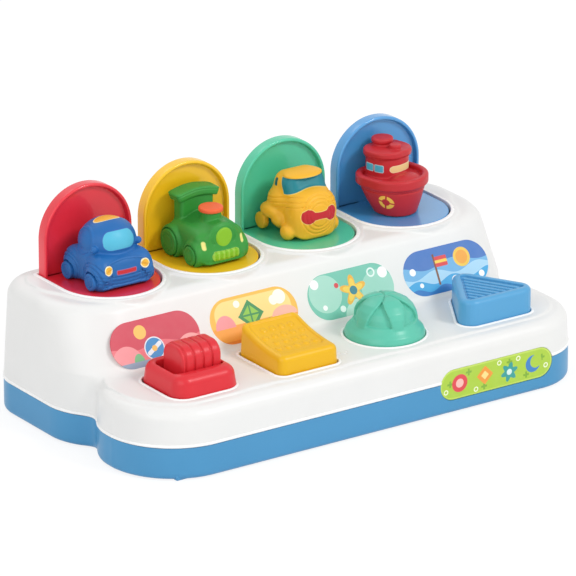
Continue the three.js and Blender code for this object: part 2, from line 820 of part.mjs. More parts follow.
const trainFrameShare = [
  [-0.4, 0.03], [-0.46, 0.12], [-0.43, 0.3], [-0.3, 0.44], [0.1, 0.48],
  [0.42, 0.46], [0.5, 0.3], [0.5, 0.05], [0, 0.03],
];
const trainBodyShare = { width: 0.8, round: 0.16 };
const trainBoilerShare = { radius: 0.28, height: 0.32, front: -0.45, back: 0.3, round: 0.06 };
const trainCabShare = [[0.28, 0.3], [0.29, 0.84], [0.5, 0.84], [0.5, 0.3]];
const trainCabWideShare = { width: 0.56, round: 0.05 };
const trainRoofShare = [
  [0.18, 0.8], [0.2, 0.87], [0.36, 0.93], [0.51, 0.9], [0.51, 0.84], [0.36, 0.84],
];
const trainRoofWideShare = { width: 0.76, round: 0.05 };
const trainChimneyShare = { y: -0.09, bottom: 0.4, neck: 0.66, top: 0.745, narrow: 0.15, wide: 0.175 };
const trainFrontWheelShare = { place: [0.44, -0.22], radius: 0.137, width: 0.1 };
const trainBackWheelShare = { place: [0.44, 0.31], radius: 0.19, width: 0.11 };

function train() {
  const boiler = trainBoilerShare;
  const chimney = trainChimneyShare;
  const boilerProfile = [
    [0, boiler.front], [boiler.radius - boiler.round, boiler.front],
    [boiler.radius, boiler.front + boiler.round], [boiler.radius, boiler.back], [0, boiler.back],
  ].map(([across, along]) => new THREE.Vector2(across * vehicleWidth, along * vehicleLength));
  const chimneyProfile = [
    [0, chimney.bottom], [chimney.narrow, chimney.bottom], [chimney.narrow, chimney.neck],
    [chimney.wide, chimney.neck], [chimney.wide, chimney.top], [0, chimney.top],
  ].map(([across, along]) => new THREE.Vector2(across * vehicleWidth, along * vehicleHeight));
  const barrel = new THREE.LatheGeometry(boilerProfile, archSteps);
  const stack = new THREE.LatheGeometry(chimneyProfile, roundSides).rotateX(Math.PI / 2);
  return join(
    sideBody(trainFrameShare, trainBodyShare.width, trainBodyShare.round),
    solid(moved(barrel, 0, 0, boiler.height * vehicleHeight)),
    sideBody(trainCabShare, trainCabWideShare.width, trainCabWideShare.round),
    sideBody(trainRoofShare, trainRoofWideShare.width, trainRoofWideShare.round),
    solid(moved(stack, 0, chimney.y * vehicleLength, 0)),
    wheels([trainFrontWheelShare.place], trainFrontWheelShare.radius, trainFrontWheelShare.width),
    wheels([trainBackWheelShare.place], trainBackWheelShare.radius, trainBackWheelShare.width),
  );
}

const planeProfileShare = [
  [-0.36, 0.05], [-0.42, 0.3], [-0.38, 0.6], [-0.24, 0.72], [-0.05, 0.9], [0.2, 0.93],
  [0.4, 0.78], [0.5, 0.5], [0.48, 0.15], [0.2, 0.05],
];
const planeBodyShare = { width: 0.74, round: 0.22 };
const planeNoseShare = { centre: [0, -0.2, 0.37], size: [0.31, 0.22, 0.3] };
const planeWingShare = { centre: [0.38, 0.3, 0.3], size: [0.13, 0.19, 0.1] };
const planeBackWheelShare = { place: [0.4, 0.36], radius: 0.12, width: 0.12 };
const planeFrontWheelShare = { place: [0.36, -0.13], radius: 0.12, width: 0.12 };

function plane() {
  return join(
    sideBody(planeProfileShare, planeBodyShare.width, planeBodyShare.round),
    ball(planeNoseShare.centre, planeNoseShare.size),
    mirrored(planeWingShare),
    wheels([planeBackWheelShare.place], planeBackWheelShare.radius, planeBackWheelShare.width),
    wheels([planeFrontWheelShare.place], planeFrontWheelShare.radius, planeFrontWheelShare.width),
  );
}

const boatHullShare = [
  { z: -0.03, half: 0.21, front: -0.27, back: 0.42 },
  { z: 0.19, half: 0.33, front: -0.38, back: 0.46 },
  { z: 0.4, half: 0.43, front: -0.47, back: 0.5 },
  { z: 0.43, half: 0.47, front: -0.51, back: 0.52 },
  { z: 0.54, half: 0.47, front: -0.51, back: 0.52 },
  { z: 0.57, half: 0.45, front: -0.49, back: 0.5 },
];
const boatDeckShare = { floor: 0.46, half: 0.38, front: -0.42, back: 0.43 };
const boatCabinShare = [[-0.08, 0.42], [-0.07, 0.81], [0.45, 0.81], [0.46, 0.42]];
const boatCabinWideShare = { width: 0.56, round: 0.06 };
const boatRoofShare = [[-0.12, 0.77], [-0.1, 0.84], [0.18, 0.88], [0.48, 0.84], [0.5, 0.77], [0.18, 0.76]];
const boatRoofWideShare = { width: 0.66, round: 0.08 };
const boatFunnelShare = { y: 0.34, bottom: 0.79, collar: 0.93, top: 1.01, narrow: 0.14, wide: 0.155 };
const boatKnobShare = { y: 0.06, bottom: 0.79, collar: 0.9, top: 0.93, narrow: 0.07, wide: 0.085 };

const hullCornerShare = { bow: 0.99, stern: 0.35 };

function hullOutline(half, front, back) {
  const [width, nose, tail] = [half * vehicleWidth, front * vehicleLength, back * vehicleLength];
  return roundRect(-width, width, nose, tail, width * hullCornerShare.bow, width * hullCornerShare.stern);
}

// A short post with a wider collar, as a funnel or a knob on a roof has.
function collaredPost({ y, bottom, collar, top, narrow, wide }) {
  const profile = [
    [0, bottom], [narrow, bottom], [narrow, collar], [wide, collar], [wide, top], [0, top],
  ].map(([across, along]) => new THREE.Vector2(across * vehicleWidth, along * vehicleHeight));
  const post = new THREE.LatheGeometry(profile, roundSides).rotateX(Math.PI / 2);
  return solid(moved(post, 0, y * vehicleLength, 0));
}

function boat() {
  const deck = boatDeckShare;
  const top = boatHullShare.at(-1).z;
  const hull = loft(boatHullShare.map(({ z, half, front, back }) => ({
    z: z * vehicleHeight,
    points: hullOutline(half, front, back),
  })));
  const well = prism(
    hullOutline(deck.half, deck.front, deck.back),
    deck.floor * vehicleHeight,
    top * vehicleHeight + overrun,
  );
  return join(
    solid(hull).subtract(solid(well)),
    sideBody(boatCabinShare, boatCabinWideShare.width, boatCabinWideShare.round),
    sideBody(boatRoofShare, boatRoofWideShare.width, boatRoofWideShare.round),
    collaredPost(boatFunnelShare),
    collaredPost(boatKnobShare),
  );
}

// Buttons

// Levels from the bottom of a button's plug, up its straight side and round its top edge.
function buttonLevels(outline, height, roundShares, roundSize) {
  const level = (z, inset) => ({ z, points: outline(-inset) });
  return [
    level(plugBottom, 0),
    ...roundShares.map(([rise, inset]) => level(buttonBase + height * rise, roundSize * inset)),
  ];
}

function sliderFrame() {
  const top = buttonBase + frameHeight;
  const outer = loft(buttonLevels(frameOutline, frameHeight, frameRoundShares, frameTaper));
  const half = knobDepth / 2 + slideGap;
  const left = knobRight - knobLength - knobTravel - slideGap;
  const well = prism(
    roundRect(left, knobRight + slideGap, buttonY - half, buttonY + half, wall),
    top - knobWellDepth,
    top + overrun,
  );
  const slot = block(
    knobStemX - latchTravel - slotHalf,
    knobStemX + slotHalf,
    buttonY - slotHalf,
    buttonY + slotHalf,
    plugBottom - overrun,
    top,
  );
  return solid(outer).subtract(solid(well)).subtract(solid(slot));
}

// The knob's section across its travel: a flat foot under a round back.
function knobSection(inset) {
  const half = knobDepth / 2 - inset;
  const bottom = buttonBase + frameHeight - knobWellDepth + fitGap;
  const top = deckHeight + knobTop - inset;
  const radius = knobDepth * knobRoundShare - inset;
  return roundRect(-half, half, bottom, top, overrun / 2, radius, 2);
}

// The knob is one loft along X: full ribs with drawn-in grooves between them.
function sliderKnob() {
  const left = knobRight - knobLength;
  const bevel = wall / 2;
  const pitch = knobLength / (knobRibs + knobFirstRibShare - 1);
  const levels = [{ z: left, points: knobSection(bevel) }, { z: left + bevel, points: knobSection(0) }];
  for (let rib = 0; rib < knobRibs - 1; rib += 1) {
    const x = left + pitch * (rib + knobFirstRibShare);
    levels.push(
      { z: x - knobGroove / 2, points: knobSection(0) },
      { z: x, points: knobSection(knobGroove) },
      { z: x + knobGroove / 2, points: knobSection(0) },
    );
  }
  levels.push({ z: knobRight - bevel, points: knobSection(0) }, { z: knobRight, points: knobSection(bevel) });
  const body = solid(moved(loft(levels).applyMatrix4(acrossMatrix), 0, buttonY, 0));
  const stem = upright(stemRadius, latchFloor, buttonBase + frameHeight - knobWellDepth + overrun);
  return body.add(solid(moved(stem, knobStemX, buttonY, 0)));
}

// The key's side, drawn in Y and Z: a sagging slope from a high back to a low front.
function keySide(drop) {
  const back = keyFrontY + keyDepth;
  const [high, low] = [buttonBase + keyBackHeight - drop, buttonBase + keyFrontHeight - drop];
  const shape = new THREE.Shape();
  shape.moveTo(keyFrontY, plugBottom);
  shape.lineTo(back, plugBottom);
  shape.lineTo(back, high - keyCorner);
  shape.quadraticCurveTo(back, high, back - keyCorner, high);
  shape.quadraticCurveTo(
    keyFrontY + keyDepth * keySagShare[0],
    low + keySagShare[1] * keyBackHeight,
    keyFrontY + keyCorner,
    low,
  );
  shape.quadraticCurveTo(keyFrontY, low, keyFrontY, low - keyCorner);
  shape.closePath();
  const settings = { depth: keyWidth, bevelEnabled: false, curveSegments: smallSteps };
  const side = new THREE.ExtrudeGeometry(shape, settings);
  return solid(moved(side, 0, 0, -keyWidth / 2).applyMatrix4(acrossMatrix));
}

function rockerKey() {
  const top = buttonBase + keyBackHeight + overrun;
  const outline = loft([
    { z: plugBottom, points: keyOutline(0) },
    { z: buttonBase, points: keyOutline(0) },
    { z: top, points: keyOutline(-keyTaper) },
  ]);
  const inside = solid(prism(keyOutline(-keyBorder), plugBottom + overrun, top));
  const panel = inside.subtract(keySide(keyPanelDepth));
  const hanger = block(
    -keyWidth / 2 + keyCorner,
    keyWidth / 2 - keyCorner,
    keyPivotY - stemRadius,
    keyPivotY + stemRadius,
    keyPivotZ - stemRadius,
    plugBottom + overrun,
  );
  const bore = moved(crosswise(pinRadius + fitGap, -keyWidth, keyWidth), 0, keyPivotY, keyPivotZ);
  return keySide(0)
    .intersect(solid(outline))
    .subtract(panel)
    .add(solid(hanger))
    .add(wedgeLeg(keyLegY, keyRampDrop))
    .subtract(solid(bore));
}

// The height of a latch's slanted face, which falls to the right so that the latch
// gives way to the left as a foot comes down on it.
function rampHeight(x, drop) {
  return latchTop + rampLow + ((rampRight - x) * drop) / latchTravel;
}

// A leg with a slanted foot just above such a face.
function wedgeLeg(y, drop) {
  const top = plugBottom + overrun;
  const shape = [
    new THREE.Vector2(footLeft, rampHeight(footLeft, drop) + wedgeGap),
    new THREE.Vector2(footRight, rampHeight(footRight, drop) + wedgeGap),
    new THREE.Vector2(footRight, top),
    new THREE.Vector2(footLeft, top),
  ];
  const leg = prism(shape, -stemRadius, stemRadius).rotateX(Math.PI / 2);
  return solid(moved(leg, 0, y, 0));
}

// The ramp on a latch under such a foot. Its back edge reaches on by a swing of the foot.
function latchRamp(y, drop, swing) {
  const bottom = latchFloor + latchThick / 2;
  const shape = [
    new THREE.Vector2(footLeft, bottom),
    new THREE.Vector2(rampRight, bottom),
    new THREE.Vector2(rampRight, rampHeight(rampRight, drop)),
    new THREE.Vector2(footLeft, rampHeight(footLeft, drop)),
  ];
  const ramp = prism(shape, -stemRadius - slideGap - swing, stemRadius + slideGap).rotateX(Math.PI / 2);
  return solid(moved(ramp, 0, y, 0));
}

function rockerPin() {
  const reach = keyWidth / 2 + keyGap + earThick;
  return moved(crosswise(pinRadius, -reach, reach), 0, keyPivotY, keyPivotZ);
}

// One level of the dial: a circle on which the lobes stand out as soft waves.
function dialLevel([rise, radiusShare, lobeShare]) {
  const sides = dialLobes * dialLobeSides;
  const points = [];
  for (let side = 0; side < sides; side += 1) {
    const angle = (2 * Math.PI * side) / sides;
    const wave = lobeShare * Math.cos(dialLobes * (angle - dialFacing) + Math.PI);
    const radius = dialRadius * (radiusShare + wave);
    points.push(new THREE.Vector2(radius * Math.cos(angle), radius * Math.sin(angle)));
  }
  return { z: buttonBase + dialHeight * rise, points };
}

// The dial with a crank under it, whose pin pulls its latch to the left.
function dialKnob() {
  const cap = loft([{ ...dialLevel([0, 1, 0]), z: plugBottom }, ...dialLevelShares.map(dialLevel)]);
  const crankBottom = latchTop + fitGap;
  const stem = upright(stemRadius, crankBottom, plugBottom + overrun);
  const arm = block(
    0,
    crankReach + 2 * pinRadius,
    -stemRadius,
    stemRadius,
    crankBottom,
    crankBottom + latchThick,
  );
  const pin = moved(upright(pinRadius, latchFloor, crankBottom + overrun), crankReach, 0, 0);
  const start = (Math.PI - dialTurn) / 2;
  return join(
    solid(cap),
    solid(stem),
    solid(arm.rotateZ(start)),
    solid(pin.rotateZ(start)),
  ).translate([0, buttonY, 0]);
}

// The slanted ribs in the recess of the triangular button.
function triangleRibBars(recess, top) {
  const bars = [];
  for (let rib = 0; rib < triangleRibs; rib += 1) {
    const near = (rib - (triangleRibs - 1) / 2) * ribPitch - ribWidth / 2;
    const [bottom, crest] = [top - wall - overrun, top - ribDrop];
    const bar = block(-triangleSide, triangleSide, near, near + ribWidth, bottom, crest);
    bars.push(solid(moved(bar.rotateZ(-Math.PI / 3), 0, triangleY, 0)));
  }
  return join(...bars).intersect(recess);
}

function pushButton() {
  const top = buttonBase + triangleHeight;
  const levels = buttonLevels(triangleOutline, triangleHeight, triangleRoundShares, triangleHeight);
  const panel = triangleOutline(0, triangleSide * trianglePanelShare, wall);
  const recess = solid(prism(panel, top - wall, top + overrun));
  const stem = moved(upright(springSeatRadius, springTop, plugBottom + overrun), 0, triangleY, 0);
  return join(
    solid(loft(levels)).subtract(recess),
    triangleRibBars(recess, top),
    solid(stem),
    wedgeLeg(pushLegY, pushTravel),
  );
}

// Latches

// A bar with a nose that holds the closed platform's edge, and two slots on the tray's posts.
function latchBar() {
  const rear = hingeY - platformUnder - platformThick - slideGap;
  const half = latchWidth / 2;
  const bar = block(noseOffset - half, noseOffset + half, latchFront, rear, latchFloor, latchTop);
  const nose = block(
    noseOffset - noseLength / 2,
    noseOffset + noseLength / 2,
    rear - noseDepth,
    rear,
    latchFloor,
    closedTipZ + noseOverlap,
  );
  let body = join(solid(bar), solid(nose));
  for (const y of postPlaces) {
    const radius = postRadius + fitGap;
    const [left, right] = [noseOffset - radius, noseOffset + latchTravel + radius];
    const [near, far] = [y - radius, y + radius];
    const boss = roundRect(left - wall, right + wall, near - wall, far + wall, radius, radius, 1);
    const slot = roundRect(left, right, near, far, radius, radius, 2);
    body = body.add(solid(prism(boss, latchFloor, latchTop)));
    body = body.subtract(solid(prism(slot, latchFloor - overrun, latchTop + overrun)));
  }
  return body;
}

// A tab beside the front of a latch, with a hole or slot that its driver turns or slides in.
function latchTab(x, { radius, min, max }) {
  const left = noseOffset + latchWidth / 2 - overrun;
  const plate = block(left, x + tabWidth / 2, min - wall, max + wall, latchFloor, latchTop);
  const outline = roundRect(x - radius, x + radius, min, max, radius, radius, smallSteps);
  return solid(plate).subtract(solid(prism(outline, latchFloor - overrun, latchTop + overrun)));
}

function sliderLatch() {
  const radius = stemRadius + fitGap;
  return latchBar().add(latchTab(knobStemX, { radius, min: buttonY - radius, max: buttonY + radius }));
}

function rockerLatch() {
  return latchBar().add(latchRamp(keyLegY, keyRampDrop, keyFootSwing));
}

function dialLatch() {
  const radius = pinRadius + fitGap;
  const crankNear = crankReach * Math.cos(dialTurn / 2);
  const [min, max] = [buttonY + crankNear - radius, buttonY + crankReach + radius];
  return latchBar().add(latchTab(latchTravel / 2, { radius, min, max }));
}

function pushLatch() {
  return latchBar().add(latchRamp(pushLegY, pushTravel, 0));
}

function pushSpring() {
  const length = springTop - springSeatTop - 2 * fitGap;
  const spring = coil(pushSpringRadius, springWire, length, springTurnCount);
  return moved(spring, 0, triangleY, springSeatTop + fitGap);
}

// Labels

function panelLabel() {
  return prism(stadium(pillLength, pillHeight), -labelThick + labelProud, labelProud);
}

function frontLabel() {
  const back = -labelThick - draftAt(trayHeight + frontPillHeight / 2);
  return prism(stadium(frontPillLength, frontPillHeight), back, back + labelThick);
}

// Assembly

const toy = new THREE.Group();

function addMesh(name, geometry, material, parent = toy) {
  const mesh = new THREE.Mesh(geometry, material);
  mesh.name = name;
  parent.add(mesh);
  return mesh;
}

const bayNames = ['car', 'train', 'plane', 'boat'];
const popupMaterials = [materials.red, materials.yellow, materials.green, materials.blue];
const vehicleMaterials = [materials.carBlue, materials.trainGreen, materials.planeYellow, materials.boatRed];
const vehicleBodies = [car(), train(), plane(), boat()];
const latches = [sliderLatch(), rockerLatch(), dialLatch(), pushLatch()];

// Gives a vehicle its flat underside, where it stands on the platform.
function flatFoot(body) {
  const half = vehicleWidth;
  return body.subtract(solid(block(-half, half, -half, half, -half, 0)));
}

addMesh('top_shell', geometryOf(topShell()), materials.white);
addMesh('base_tray', geometryOf(baseTray()), materials.trayBlue);
addMesh('front_label', onFront(frontLabel()), materials.limeLabel);

const lidBody = geometryOf(lid());
for (const [at, name] of bayNames.entries()) {
  const popup = new THREE.Group();
  popup.position.set(bayX[at], hingeY, hingeZ);
  toy.add(popup);
  addMesh(`${name}_lid`, lidBody, popupMaterials[at], popup);
  addMesh(`${name}_spring`, lidSpring(), materials.steel, popup);
  addMesh(`${name}_hinge_pin`, hingePin(), materials.steel, popup);
  const figure = geometryOf(flatFoot(vehicleBodies[at]));
  const vehicle = addMesh(`${name}_vehicle`, figure, vehicleMaterials[at], popup);
  vehicle.position.set(0, vehicleY - hingeY, platformTop - hingeZ + fitGap);
  addMesh(`${name}_label`, onSlope(panelLabel(), bayX[at]), materials.label);
  const bar = addMesh(`${name}_latch`, geometryOf(latches[at]), materials.grey);
  bar.position.x = bayX[at];
}

addMesh('slider_frame', geometryOf(sliderFrame()), materials.red).position.x = bayX[0];
addMesh('slider_knob', geometryOf(sliderKnob()), materials.red).position.x = bayX[0];
addMesh('rocker_key', geometryOf(rockerKey()), materials.yellow).position.x = bayX[1];
addMesh('rocker_pin', rockerPin(), materials.steel).position.x = bayX[1];
addMesh('dial_knob', geometryOf(dialKnob()), materials.green).position.x = bayX[2];
addMesh('push_button', geometryOf(pushButton()), materials.blue).position.x = bayX[3];
addMesh('push_spring', pushSpring(), materials.steel).position.x = bayX[3];

export default toy;
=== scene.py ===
import json
import math

import bmesh
import bpy
import numpy as np
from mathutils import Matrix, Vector

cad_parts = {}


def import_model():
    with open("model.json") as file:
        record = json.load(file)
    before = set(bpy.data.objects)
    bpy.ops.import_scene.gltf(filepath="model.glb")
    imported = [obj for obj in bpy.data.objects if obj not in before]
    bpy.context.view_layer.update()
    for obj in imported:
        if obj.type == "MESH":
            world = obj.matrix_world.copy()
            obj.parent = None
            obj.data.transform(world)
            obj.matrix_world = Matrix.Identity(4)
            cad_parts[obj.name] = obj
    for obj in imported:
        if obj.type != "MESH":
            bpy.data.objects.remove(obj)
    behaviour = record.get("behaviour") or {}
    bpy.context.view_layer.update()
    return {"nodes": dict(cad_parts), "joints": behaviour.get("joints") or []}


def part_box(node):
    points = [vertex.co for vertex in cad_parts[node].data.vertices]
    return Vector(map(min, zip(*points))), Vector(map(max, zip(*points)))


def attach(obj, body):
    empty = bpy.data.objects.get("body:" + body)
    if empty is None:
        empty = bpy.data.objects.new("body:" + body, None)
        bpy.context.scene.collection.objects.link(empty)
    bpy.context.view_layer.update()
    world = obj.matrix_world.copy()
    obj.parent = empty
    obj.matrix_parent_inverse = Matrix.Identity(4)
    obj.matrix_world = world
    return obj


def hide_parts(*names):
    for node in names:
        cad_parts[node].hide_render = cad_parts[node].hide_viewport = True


# A toy with four pop-up vehicles: a white housing on a blue tray, four lids with a car, a train,
# a plane and a boat on their platforms, and four buttons. Lengths are in millimetres until a mesh
# is made, with X along the housing, Y to the back and Z up from the ground.

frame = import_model()

MM = 0.001
BAYS = ("car", "train", "plane", "boat")


def node_box(node):
    low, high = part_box(node)
    return np.array(low) / MM, np.array(high) / MM


# Places taken from the frame
shell_low, shell_high = node_box("top_shell")
tray_low, tray_high = node_box("base_tray")
bay_x = {bay: float(sum(b[0] for b in node_box(f"{bay}_vehicle")) / 2) for bay in BAYS}
pivots = {j["name"]: np.array(j.get("pos_m", (0, 0, 0))) / MM for j in frame["joints"]}
hinge = pivots["car_popup_swing"]
vehicle_foot = float(node_box("car_vehicle")[0][2])

# Housing
SIDE = float(shell_high[0])
FRONT = float(tray_low[1])
BACK = float(tray_high[1])
SEAM_RAISE = 1.6
SEAM = float(shell_low[2]) + SEAM_RAISE
RIM_RISE = 0.6
TOP = float(shell_high[2]) - RIM_RISE
DECK = 44.7
TRAY_TOP = 18.6 + SEAM_RAISE
DRAFT = math.tan(math.radians(2.3))
REAR_CORNER = 39.0
BACK_CORNER = 26.0
FRONT_CORNER = 34.0
LEFT_CORNER = 45.0
LEFT_INSET = 3.5
REAR_FOOT_Y = -21.0
SLOPE_FOOT_Y = -19.2
SLOPE_TOP_Y = 1.6
FRONT_LOBE_BACK = -4.8
TOP_ROUND = 9.0
SLOPE_ROUND = 5.0
DECK_ROUND = 7.5
TRAY_ROUND = 3.2
FOOT_RISE = 0.5
WALL = 2.4
PLATEAU_STEP = 1.2
PLATEAU_INSET = 9.0
PLATEAU_EDGE = 0.9
PAD_WIDTH = 4.5
WAIST_BLEND, WAIST_SPREAD = 5.0, 6.0
WAIST_START, WAIST_LENGTH = 128.0, 18.0
EDGE_SPREAD = 30
LIP_HEIGHT = 1.8
RIM_DEPTH = 3.4
CUT_PAST = 9
FOOT_STEP, FOOT_HALF = 64.0, (7.0, 3.0, 1.6)
DIMPLES = ((-6.0, -60.2), (-3.4, -62.8), (-1.2, -60.0))
DIMPLE_RADIUS = 1.1

# How fine the meshes are: the cell size of the full one and of the quick one
HOUSING_CELL = (1.0, 2.0)
LIP_CELL = (0.7, 1.4)
TRAY_CELL = (1.25, 2.0)
BUTTON_CELL = (0.6, 1.1)
DIAL_CELL = (0.6, 1.2)
FIGURE_CELL = (0.5, 0.9)
KNUCKLE_CELL = (0.6, 0.6)
FOOT_CELL = (0.5, 0.5)
DIMPLE_CELL = (0.3, 0.3)

# Bays and buttons
LID_RADIUS = 30.8
LID_REACH = 56.2
LID_BACK, LID_FRONT = 4.4, 3.4
BAY_GAP = 0.6
BAY_BACK = 5.0
KNUCKLE_RADIUS, KNUCKLE_HALF, KNUCKLE_X = 3.5, 8.5, 21.0
bay_centre_y = float(hinge[1]) - (LID_REACH - LID_RADIUS)
BUTTON_Y = -48.0
FRAME_SIDE = 44.7
FRAME_CORNER = 10.0
KEY_WIDTH = 42.0
KEY_DEPTH = 45.6
KEY_CORNER = 5.0
KEY_GAP = 0.9
KEY_FRONT_TOP = 56.1
KEY_BACK_TOP = 65.0
DIAL_RADIUS = 24.2
DIAL_TOP = 69.6
DIAL_FACING = -136.5
PLUG_FOOT = 40.2
TRIANGLE_SIDE = 62.0
TRIANGLE_CORNER = 8.0
BUTTON_GAP = 0.3
key_front_y = BUTTON_Y - 24.0
triangle_y = BUTTON_Y - 22.5 + TRIANGLE_SIDE / (2 * math.sqrt(3))

# The boat stands turned and a little aside on its platform
BOAT_TURN = 14.0
BOAT_SHIFT = (-3.0, 1.0)
CABIN_SHIFT = 3.0

# Labels
label_low, label_high = node_box("front_label")
front_label_x = float(label_low[0] + label_high[0]) / 2
front_label_y = float(label_low[1])
FRONT_LABEL_LENGTH = 82.0
FRONT_LABEL_HEIGHT = 19.0
FRONT_LABEL_Z = 18.6
LABEL_GAP, LABEL_SINK = 0.3, 1.0
PILL_END = 0.01
PANEL_LENGTH = 61.8
PANEL_HEIGHT = 28.0
PANEL_SHIFT = 1.1
slope_angle = math.atan2(TOP - DECK, SLOPE_TOP_Y - SLOPE_FOOT_Y)
panel_z = float(sum(b[2] for b in node_box("car_label")) / 2)
panel_y = SLOPE_FOOT_Y + (SLOPE_TOP_Y - SLOPE_FOOT_Y) * (panel_z - DECK) / (TOP - DECK)


# Solids given by a signed distance

def lengths(*parts):
    return np.sqrt(sum(part * part for part in parts))


def soft_min(a, b, radius):
    radius = np.maximum(radius, 1e-6)
    h = np.maximum(radius - np.abs(a - b), 0) / radius
    return np.minimum(a, b) - h * h * radius / 4


class Form:
    """A solid as a function of X, Y and Z arrays that gives the distance to its surface."""

    def __init__(self, distance):
        self.distance = distance

    def __call__(self, x, y, z):
        return self.distance(x, y, z)

    def join(self, other, radius=0.0):
        return Form(lambda x, y, z: soft_min(self(x, y, z), other(x, y, z), radius))

    def cut(self, other, radius=0.0):
        return Form(lambda x, y, z: -soft_min(-self(x, y, z), other(x, y, z), radius))

    def common(self, other, radius=0.0):
        return Form(lambda x, y, z: -soft_min(-self(x, y, z), -other(x, y, z), radius))

    def groove(self, zone, depth, radius=0.3):
        """Sinks the surface by a depth inside a zone."""
        def distance(x, y, z):
            d = self(x, y, z)
            return -soft_min(-d, np.maximum(zone(x, y, z), -d - depth), radius)
        return Form(distance)

    def ridge(self, zone, height, radius=0.5):
        """Raises the surface by a height inside a zone."""
        def distance(x, y, z):
            d = self(x, y, z)
            return soft_min(d, np.maximum(zone(x, y, z), d - height), radius)
        return Form(distance)

    def mirrored(self):
        return Form(lambda x, y, z: self(np.abs(x), y, z))

    def moved(self, dx=0.0, dy=0.0, dz=0.0):
        return Form(lambda x, y, z: self(x - dx, y - dy, z - dz))

    def turned(self, angle):
        """Turns the solid about the upright axis, in degrees."""
        c, s = math.cos(math.radians(angle)), math.sin(math.radians(angle))
        return Form(lambda x, y, z: self(c * x + s * y, c * y - s * x, z))


def ball(centre, size):
    def distance(x, y, z):
        px, py, pz = x - centre[0], y - centre[1], z - centre[2]
        near = lengths(px / size[0], py / size[1], pz / size[2])
        slope = lengths(px / size[0] ** 2, py / size[1] ** 2, pz / size[2] ** 2)
        return near * (near - 1) / np.maximum(slope, 1e-9)
    return Form(distance)


def block(centre, half, radius=0.5):
    def distance(x, y, z):
        q = [np.abs(p - c) - h + radius for p, c, h in zip((x, y, z), centre, half)]
        outside = lengths(*[np.maximum(a, 0) for a in q])
        return outside + np.minimum(np.maximum(np.maximum(q[0], q[1]), q[2]), 0) - radius
    return Form(distance)


def rounded(flat, across, radius):
    """The distance to a body that is bounded by two crossing distances, with a round edge."""
    a, b = flat + radius, across + radius
    return lengths(np.maximum(a, 0), np.maximum(b, 0)) + np.minimum(np.maximum(a, b), 0) - radius


def about(centre, axis, *place):
    """How far a place lies from a centre along an axis, and how far from that axis."""
    parts = [q - c for q, c in zip(place, centre)]
    along = parts.pop("xyz".index(axis))
    return along, lengths(*parts)


def drum(centre, radius, half, edge=0.5, axis="x"):
    def distance(x, y, z):
        along, away = about(centre, axis, x, y, z)
        return rounded(away - radius, np.abs(along) - half, edge)
    return Form(distance)


def hoop(centre, radius, thick, axis="x"):
    def distance(x, y, z):
        along, away = about(centre, axis, x, y, z)
        return lengths(away - radius, along) - thick
    return Form(distance)


def cone(centre, bottom_radius, top_radius, half, edge=0.5):
    """A round body along Z that widens or narrows evenly."""
    def distance(x, y, z):
        share = np.clip((z - centre[2] + half) / (2 * half), 0, 1)
        radius = bottom_radius + (top_radius - bottom_radius) * share
        along, away = about(centre, "z", x, y, z)
        return rounded(away - radius, np.abs(along) - half, edge)
    return Form(distance)


def smooth_loop(corners, steps=5):
    """Points on a closed round curve through the corners."""
    corners = np.array(corners, float)
    t = (np.arange(steps) / steps)[:, None]
    parts = []
    for at in range(len(corners)):
        a, b, c, d = (corners[(at + k) % len(corners)] for k in (-1, 0, 1, 2))
        parts.append(0.5 * (2 * b + (c - a) * t + (2 * a - 5 * b + 4 * c - d) * t ** 2
                            + (3 * b - 3 * c + d - a) * t ** 3))
    return np.concatenate(parts)


def loop_distance(loop, u, v):
    """Signed distance in a plane to a closed loop of points."""
    nearest = np.full(u.shape, 1e9)
    inside = np.zeros(u.shape, bool)
    for (au, av), (bu, bv) in zip(loop, np.roll(loop, -1, axis=0)):
        eu, ev = bu - au, bv - av
        share = np.clip(((u - au) * eu + (v - av) * ev) / (eu * eu + ev * ev), 0, 1)
        du, dv = u - au - eu * share, v - av - ev * share
        nearest = np.minimum(nearest, du * du + dv * dv)
        crosses = (av > v) != (bv > v)
        if ev != 0:
            inside ^= crosses & (u < au + eu * (v - av) / ev)
    nearest = np.sqrt(nearest)
    return np.where(inside, -nearest, nearest)


def side_slab(profile, half, edge):
    """A side profile in Y and Z carried across X, with round edges."""
    loop = smooth_loop(profile)
    return Form(lambda x, y, z: rounded(loop_distance(loop, y, z), np.abs(x) - half, edge))


def round_rect(u, v, u_half, v_low, v_high, low_radius, high_radius):
    """Distance in a plane to a rectangle whose low and high corners have their own radii."""
    middle, half = (v_low + v_high) / 2, (v_high - v_low) / 2
    radius = np.where(v > middle, high_radius, low_radius)
    return rounded(np.abs(u) - u_half, np.abs(v - middle) - half, radius)


# Meshes

def mesh_piece(name, points, faces):
    mesh = bpy.data.meshes.new(name)
    mesh.from_pydata((np.asarray(points, float) * MM).tolist(), [], faces)
    mesh.validate()
    mesh.polygons.foreach_set("use_smooth", [True] * len(mesh.polygons))
    piece = bpy.data.objects.new(name, mesh)
    bpy.context.scene.collection.objects.link(piece)
    return piece


